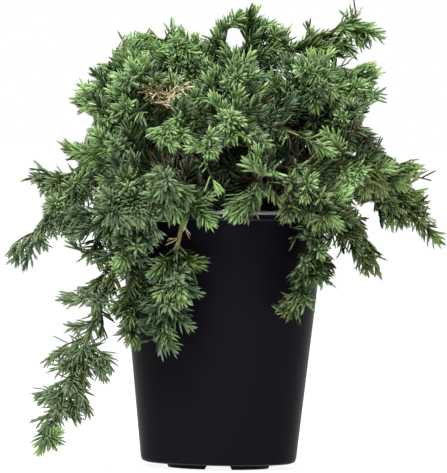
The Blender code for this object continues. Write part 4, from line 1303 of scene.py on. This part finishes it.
def make_wood(settings):
    """The trunk and each bough, with bark relief. A bough starts a little way inside the trunk."""
    bark = bark_finish(settings)
    foot = MIX_LEVEL + GAP
    axis = [trunk_axis(foot + (TRUNK_TOP - foot) * step / TRUNK_STEPS) for step in range(TRUNK_STEPS + 1)]

    def trunk_size(share, turn):
        return trunk_radius(foot + (TRUNK_TOP - foot) * share, turn)

    mesh = limb_mesh("trunk_bark", axis, trunk_size, TRUNK_SIDES, TRUNK_RINGS, settings.relief)
    kept("trunk_bark", mesh, [bark], ["trunk"])
    for bough in BOUGHS:
        path = bough_path(bough)
        base = BOUGH_BASE_RADIUS + BOUGH_THICKENING * length_of(path)
        rooted = [path[0] + (path[0] - path[1]).normalized() * BOUGH_ROOTED, *path]
        name = f"bough_{bough.name}_bark"

        def size(share, turn, base=base):
            return base + (BOUGH_TIP_RADIUS - base) * share

        mesh = limb_mesh(name, rooted, size, BOUGH_SIDES, BOUGH_RINGS, settings.relief)
        kept(name, mesh, [bark], [f"bough_{bough.name}"])


# --- foliage -------------------------------------------------------------------------------------
def needle_template():
    """One awl-shaped needle a unit long up Z: three-sided, its flat side towards +Y, and pointed at
    both ends."""
    low, high = NEEDLE_RINGS
    shape = bmesh.new()
    turned = Matrix.Rotation(NEEDLE_TURN, 4, "Z")
    bmesh.ops.create_cone(
        shape, cap_ends=True, segments=3, radius1=CORNER_REACH * low[1], radius2=CORNER_REACH * high[1],
        depth=high[0] - low[0], matrix=Matrix.Translation((0, 0, (low[0] + high[0]) / 2)) @ turned,
    )
    shape.normal_update()
    for face in shape.faces[:]:
        if abs(face.normal.z) > NEARLY_ALONG:
            end = 1 if face.normal.z > 0 else 0
            bmesh.ops.poke(shape, faces=[face])["verts"][0].co = (0, 0, end)
    bmesh.ops.recalc_face_normals(shape, faces=shape.faces)
    points, triangles = template(shape)
    corners = points[triangles]
    normals = np.cross(corners[:, 1] - corners[:, 0], corners[:, 2] - corners[:, 0])
    return points, triangles, normals[:, 1] > INNER_FACING * np.linalg.norm(normals, axis=1)


def reach_along(points):
    """How far along a path each of its points is."""
    return np.concatenate(([0], np.cumsum(np.linalg.norm(np.diff(points, axis=0), axis=1))))


def spots_on(points, reach, spots):
    """The places on a path that far along it."""
    return np.stack([np.interp(spots, reach, points[:, axis]) for axis in range(3)], axis=1)


def resampled(path, count):
    """count points spaced evenly along a path."""
    points = np.array(path)
    reach = reach_along(points)
    return spots_on(points, reach, np.linspace(0, reach[-1], count))


def unit(vectors):
    return vectors / np.maximum(np.linalg.norm(vectors, axis=-1, keepdims=True), 1e-9)


def sides_of(along):
    """Two unit vectors square to each direction."""
    upright = np.abs(along[..., 2:]) > NEARLY_ALONG
    level = unit(np.cross(along, np.where(upright, (0.0, 1.0, 0.0), (0.0, 0.0, 1.0))))
    return level, np.cross(level, along)


Twig = namedtuple("Twig", "path bare tint fresh radii wood")


class Growth:
    """What grows from one bough or from the trunk's top: twigs, and the needles on them."""

    def __init__(self, settings, name):
        self.settings = settings
        self.rng = random.Random(f"growth {name}")
        self.draws = np.random.default_rng(self.rng.getrandbits(32))
        self.stems = []
        self.twigs = []
        self.box = None

    def tint(self, family, point):
        """A twig's tint, and whether its end is fresh: those inside the crown take the inner family's dark
        tints, painted shade.
        """
        wide, deep, tall = CROWN_REACH
        height = point.z - CROWN_HEIGHT
        out = math.sqrt((point.x / wide) ** 2 + (point.y / deep) ** 2 + (height / tall) ** 2)
        kind = FAMILIES["inner" if out < self.rng.uniform(*CROWN_INSIDE) else family]
        tint = self.rng.choices(list(kind.tints), list(kind.tints.values()))[0]
        return tint, self.rng.random() < kind.fresh * min(1, out)

    def fits(self, path):
        """Whether a shoot keeps clear of the pot and the sky, and ends in the box of its solid."""
        points = np.array(path)
        if not clear_of_pot(points, SHOOT_ROOM).all() or left_open(points).any():
            return False
        if self.box is None:
            return True
        low, high = self.box
        return all(a + REACH_KEPT <= b <= c - REACH_KEPT for a, b, c in zip(low, path[-1], high))

    def shoots(self, path, family, spacing, length, bare, finer):
        """Shoots in turn round a path, shorter towards its tip and turned up a little at the end."""
        rng = self.rng
        reach = length_of(path)
        count = round(reach * (1 - bare) / spacing)
        first_turn = rng.uniform(0, math.tau)
        for index in range(count):
            share = bare + (1 - bare) * (index + BEFORE_FIRST) / (count + SPACINGS_SPARE)
            root, direction = point_along(path, share)
            roll = first_turn + index * SHOOT_TURN
            roll += math.radians(rng.uniform(-TURN_VARIES, TURN_VARIES))
            spread = math.radians(rng.uniform(*SHOOT_SPREAD))
            side = side_of(direction, roll)
            heading = (direction * math.cos(spread) + side * math.sin(spread)).normalized()
            size = length * (SHOOT_AT_BASE - SHOOT_LOSS * share) * rng.uniform(*SHOOT_VARIES)
            lift = rng.uniform(*SHOOT_LIFT)
            bow = side_of(heading, rng.uniform(0, math.tau)) * rng.uniform(-SHOOT_BOW, SHOOT_BOW)
            while size > SHOOT_SHORTEST:
                shoot = []
                for step in range(SHOOT_POINTS):
                    t = step / (SHOOT_POINTS - 1)
                    shoot.append(root + (heading * t + UP * lift * t * t + bow * t * (1 - t)) * size)
                if self.fits(shoot[1:]):
                    self.add_shoot(shoot, family, finer)
                    break
                size *= SHOOT_CUT

    def add_placed(self, spray, stem):
        """The shoots of that spray that are placed one by one."""
        for row in PLACED.get(spray.name, ()):
            shoot = Placed(*row)
            root, direction = point_along(stem, shoot.start / 100)
            tip = Vector((shoot.x, shoot.y, shoot.z)) * MM
            tip -= (tip - root).normalized() * TIP_NEEDLES
            control = root + direction * PLACED_BEND * (tip - root).length + (tip - root) * PLACED_BEND
            control += bowed(shoot.across, shoot.up)
            path = curved(root, control, tip, SHOOT_POINTS)
            alive = shoot.tint not in DEAD
            self.add_shoot(path, spray.family, alive, (shoot.tint, shoot.fresh))

    def add_shoot(self, path, family, finer, looks=None):
        tint, fresh = looks or self.tint(family, path[-1])
        radii = SHOOT_RADII if finer else TWIG_RADII
        bare = SHOOT_BARE if finer else TWIG_BARE
        wood = "old_twig" if finer and self.rng.random() < OLD_WOOD else "young_twig"
        if tint in DEAD:
            wood = "dead_twig"
        self.twigs.append(Twig(path, bare, tint, fresh, radii, wood))
        if finer and length_of(path) > BRANCHES_AGAIN:
            settings = self.settings
            self.shoots(path, family, settings.twig_spacing, settings.twig, FORK_BARE, False)

    def add_stem(self, spray, path):
        bare = BARE.get(spray.name, STEM_BARE)
        tint, fresh = self.tint(spray.family, path[-1])
        wood, radii = "old_twig", STEM_RADII
        if spray.name in YOUNG_STEMS:
            wood, radii = "young_twig", YOUNG_STEM_RADII
        self.stems.append(Twig(path, bare, tint, fresh, radii, wood))
        settings = self.settings
        self.add_placed(spray, path)
        self.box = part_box(f"spray_{spray.name}")
        spacing = settings.spacing * OPEN.get(spray.name, 1)
        self.shoots(path, spray.family, spacing, settings.shoot, bare, True)
        self.box = None

    def needles_on(self, twig):
        """Roots, directions, inner sides, sizes and tints of the needles along one twig."""
        settings, draws = self.settings, self.draws
        path = np.array(twig.path)
        reach = reach_along(path)
        length = reach[-1]
        brush = min(BRUSH_LENGTH, BRUSH_SHARE * length)
        apart = DEAD_SPACING if twig.tint in DEAD else 1
        end = length + PAST_END * BRUSH_SPACING
        spots = np.concatenate((
            np.arange(twig.bare * length, length - brush, settings.whorl * apart),
            np.arange(length - brush, end, BRUSH_SPACING * apart),
        ))
        ring = np.repeat(np.arange(len(spots)), NEEDLES_ROUND)
        count = len(ring)
        spot = spots[ring] + draws.uniform(-SPOT_VARIES, SPOT_VARIES, count) * BRUSH_SPACING
        place, behind, ahead = (spots_on(path, reach, spot + step) for step in (0, -MM, MM))
        along = unit(ahead - behind)
        level, raised = sides_of(along)
        in_ring = np.tile(np.arange(NEEDLES_ROUND), len(spots))
        turn = ring * RING_TURN + in_ring * math.tau / NEEDLES_ROUND
        turn = (turn + draws.uniform(-RING_VARIES, RING_VARIES, count) + draws.uniform(0, math.tau))[:, None]
        outwards = level * np.cos(turn) + raised * np.sin(turn)
        to_tip = np.clip((length - spot) / brush, 0, 1)
        spread = TIP_SPREAD + (settings.spread - TIP_SPREAD) * to_tip ** SPREAD_EASE
        spread = (spread + draws.normal(0, SPREAD_VARIES, count))[:, None]
        heading = along * np.cos(spread) + outwards * np.sin(spread)
        inner = along * np.sin(spread) - outwards * np.cos(spread)
        size = settings.needle * (TIP_SIZE + (1 - TIP_SIZE) * to_tip)
        size *= draws.uniform(*NEEDLE_VARIES, count)
        if twig.tint in DEAD:
            size *= DEAD_SIZE
        tints = np.full(count, TINTS.index(twig.tint))
        if twig.fresh:
            tints[to_tip < FRESH_END] = TINTS.index("fresh")
            tints[to_tip < BUD_END] = TINTS.index("bud")
        chance = draws.random(count)
        tints = np.where(chance < PALER_NEEDLES, STEPS["paler"][tints], tints)
        older = DARKER_NEEDLES + OLD_NEEDLES * (spot < OLD_PART * length)
        tints = np.where(chance > 1 - older, STEPS["darker"][tints], tints)
        free = np.ones(count, bool)
        for share in (1, NEEDLE_MIDDLE):
            points = place + heading * size[:, None] * share
            free &= clear_of_pot(points, NEEDLE_ROOM) & ~left_open(points)
        return [part[free] for part in (place, heading, inner, size, tints)]

    def needle_mesh(self, name):
        points, triangles, inside = needle_template()
        parts = [self.needles_on(twig) for twig in self.stems + self.twigs]
        place, heading, inner, size, tints = (np.concatenate(part) for part in zip(*parts))
        settings = self.settings
        width = settings.width * (1 - NEEDLE_SLIMS + NEEDLE_SLIMS * size / settings.needle)
        width *= np.where(np.isin(tints, [TINTS.index(tint) for tint in DEAD]), DEAD_WIDTH, 1)
        across, depth, height = (points[None, :, axis, None] for axis in range(3))
        width, size = width[:, None, None], size[:, None, None]
        heading, inner = heading[:, None], inner[:, None]
        made = (
            place[:, None]
            + np.cross(inner, heading) * (across * width)
            + inner * (depth * NEEDLE_DEPTH * width)
            + heading * (height * size)
            + inner * (height ** 2 * NEEDLE_CURVE * size)
        )
        finishes = (2 * tints[:, None] + inside[None]).ravel()
        return joined(name, *repeated(made, triangles), finishes)

    def twig_mesh(self, name):
        """The stems and twigs as slim tapering tubes."""
        parts = []
        total = 0
        stems = (self.stems, STEM_SIDES, STEM_POINTS)
        for twigs, sides, rings in (stems, (self.twigs, SHOOT_SIDES, SHOOT_RINGS)):
            points, triangles = template(unit_tube(sides, rings))
            ring = np.rint(points[:, 2] * (rings - 1)).astype(int)
            paths = np.array([resampled(twig.path, rings) for twig in twigs])
            level, raised = sides_of(unit(np.gradient(paths, axis=1)))
            radii = np.array([twig.radii for twig in twigs])
            across, depth, share = (points[None, :, axis, None] for axis in range(3))
            size = radii[:, :1, None] * (1 - share) + radii[:, 1:, None] * share
            made = paths[:, ring] + size * (level[:, ring] * across + raised[:, ring] * depth)
            made, faces = repeated(made, triangles)
            woods = np.repeat([TWIG_TINTS.index(twig.wood) for twig in twigs], len(triangles))
            parts.append((made, faces + total, woods))
            total += len(made)
        mesh = joined(name, *(np.concatenate(part) for part in zip(*parts)))
        mesh.shade_smooth()
        return mesh


def carriers():
    """Each bough with its path and sprays, and the trunk's top with its own."""
    for bough in BOUGHS:
        yield bough.name, bough_path(bough), bough.sprays
    trunk_tip = [trunk_axis(TRUNK_TOP - MM), trunk_axis(TRUNK_TOP)]
    yield TOP, trunk_tip, TOP_SPRAYS


def make_foliage(settings):
    finishes = foliage_finishes(settings)
    wood = [
        Finish(tint, getattr(settings, tint), 0.8, Specular_IOR_Level=0.2).material
        for tint in TWIG_TINTS
    ]
    steps = [step / (CORE_POINTS - 1) for step in range(CORE_POINTS)]
    trunk_core = [trunk_axis(CORE_LOW + (TRUNK_TOP - CORE_LOW) * step) for step in steps]
    for name, carrier, sprays in carriers():
        growth = Growth(settings, name)
        for spray, stem in stem_paths(carrier, sprays).items():
            growth.add_stem(spray, stem)
        limb, rule = (trunk_core, TRUNK_SHOOTS) if name == TOP else (carrier, BOUGH_SHOOTS)
        # The shoots on the limbs inside the crown take the inner family's dark tints: painted shade.
        growth.shoots(limb, "inner", *rule, STEM_BARE, True)
        replaced = [f"spray_{spray.name}" for spray in sprays]
        kept(f"needles_{name}", growth.needle_mesh(f"needles_{name}"), finishes, replaced)
        kept(f"twigs_{name}", growth.twig_mesh(f"twigs_{name}"), wood, replaced)


# --- stage ---------------------------------------------------------------------------------------
def make_lights(settings):
    """A white studio that gives less light than it shows, so that the crown keeps its dark hollows,
    and two soft lamps."""
    world = bpy.data.worlds.new("soft_light")
    world.use_nodes = True
    nodes, links = world.node_tree.nodes, world.node_tree.links
    lit, seen = nodes["Background"], nodes.new("ShaderNodeBackground")
    for background, strength in ((lit, settings.sky), (seen, 1.0)):
        background.inputs["Color"].default_value = WHITE
        background.inputs["Strength"].default_value = strength
    ray = nodes.new("ShaderNodeLightPath")
    mix = nodes.new("ShaderNodeMixShader")
    links.new(ray.outputs["Is Camera Ray"], mix.inputs["Fac"])
    links.new(lit.outputs["Background"], mix.inputs[1])
    links.new(seen.outputs["Background"], mix.inputs[2])
    links.new(mix.outputs["Shader"], nodes["World Output"].inputs["Surface"])
    bpy.context.scene.world = world

    for name, (setting, width, place) in LAMPS.items():
        lamp = bpy.data.lights.new(name, "AREA")
        lamp.shape = "DISK"
        lamp.size = width
        lamp.energy = getattr(settings, setting)
        holder = linked(name, lamp)
        holder.location = place
        holder.rotation_euler = (LAMPS_AIM - Vector(place)).to_track_quat("-Z", "Y").to_euler()


def make_floor(settings):
    shape = bmesh.new()
    bmesh.ops.create_grid(shape, x_segments=1, y_segments=1, size=FLOOR_REACH)
    floor = linked("floor", mesh_of("floor", shape))
    floor.location.z = -FLOOR_DROP
    pale = Finish(
        "floor", settings.floor, 0.9, Specular_IOR_Level=0.0,
        Emission_Color=WHITE, Emission_Strength=settings.glow,
    )
    floor.data.materials.append(pale.material)
    floor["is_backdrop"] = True


def make_camera(settings):
    data = bpy.data.cameras.new("camera")
    data.sensor_fit = "HORIZONTAL"
    data.sensor_width = SENSOR
    data.lens = SENSOR * settings.distance / FRAME_WIDTH
    data.clip_end = FAR
    camera = linked("camera", data)
    eye = Vector((0, -settings.distance, settings.eye))
    turned = (AIM - eye).to_track_quat("-Z", "Y").to_matrix().to_4x4()
    camera.matrix_world = Matrix.Translation(eye) @ turned @ Matrix.Rotation(settings.roll, 4, "Z")
    bpy.context.scene.camera = camera


# --- operators and panel -------------------------------------------------------------------------
class JUNIPER_OT_pot(bpy.types.Operator):
    """Makes the nursery pot"""

    bl_idname = "juniper.pot"
    bl_label = "Nursery pot"

    def execute(self, context):
        make_pot(context.scene.juniper_pot)
        return {"FINISHED"}


class JUNIPER_OT_mix(bpy.types.Operator):
    """Fills the pot with potting mix and bark chips"""

    bl_idname = "juniper.mix"
    bl_label = "Potting mix"

    def execute(self, context):
        make_mix(context.scene.juniper_mix)
        return {"FINISHED"}


class JUNIPER_OT_wood(bpy.types.Operator):
    """Makes the trunk and the boughs, with their bark"""

    bl_idname = "juniper.wood"
    bl_label = "Trunk and boughs"

    def execute(self, context):
        make_wood(context.scene.juniper_wood)
        return {"FINISHED"}


class JUNIPER_OT_foliage(bpy.types.Operator):
    """Grows the twigs and the needles"""

    bl_idname = "juniper.foliage"
    bl_label = "Twigs and needles"

    def execute(self, context):
        make_foliage(context.scene.juniper_foliage)
        return {"FINISHED"}


class JUNIPER_OT_stage(bpy.types.Operator):
    """Sets up the floor, the light and the camera"""

    bl_idname = "juniper.stage"
    bl_label = "Floor, light and camera"

    def execute(self, context):
        for make in (make_floor, make_lights, make_camera):
            make(context.scene.juniper_stage)
        context.scene.view_settings.view_transform = "Standard"
        return {"FINISHED"}


class JUNIPER_PT_pieces(bpy.types.Panel):
    """Lists the pieces of the potted juniper"""

    bl_idname = "JUNIPER_PT_pieces"
    bl_label = "Potted juniper"
    bl_space_type = "VIEW_3D"
    bl_region_type = "UI"
    bl_category = "Juniper"

    def draw(self, context):
        for operator in OPERATORS:
            self.layout.operator(operator.bl_idname)


OPERATORS = (JUNIPER_OT_pot, JUNIPER_OT_mix, JUNIPER_OT_wood, JUNIPER_OT_foliage, JUNIPER_OT_stage)
SETTINGS = {
    "juniper_pot": JuniperPot,
    "juniper_mix": JuniperMix,
    "juniper_wood": JuniperWood,
    "juniper_foliage": JuniperFoliage,
    "juniper_stage": JuniperStage,
}


def register():
    for cls in (*SETTINGS.values(), *OPERATORS, JUNIPER_PT_pieces):
        bpy.utils.register_class(cls)
    for name, cls in SETTINGS.items():
        setattr(bpy.types.Scene, name, PointerProperty(type=cls))


def unregister():
    for name in SETTINGS:
        delattr(bpy.types.Scene, name)
    for cls in (JUNIPER_PT_pieces, *reversed(OPERATORS), *reversed(SETTINGS.values())):
        bpy.utils.unregister_class(cls)


def main():
    register()
    bpy.ops.juniper.pot()
    bpy.ops.juniper.mix()
    bpy.ops.juniper.wood()
    bpy.ops.juniper.foliage()
    bpy.ops.juniper.stage()
    sizes = {"cad": CAD_BOX, "visual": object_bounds()}
    {key: [list(corner) for corner in box] for key, box in sizes.items()}


if __name__ == "__main__":
    main()
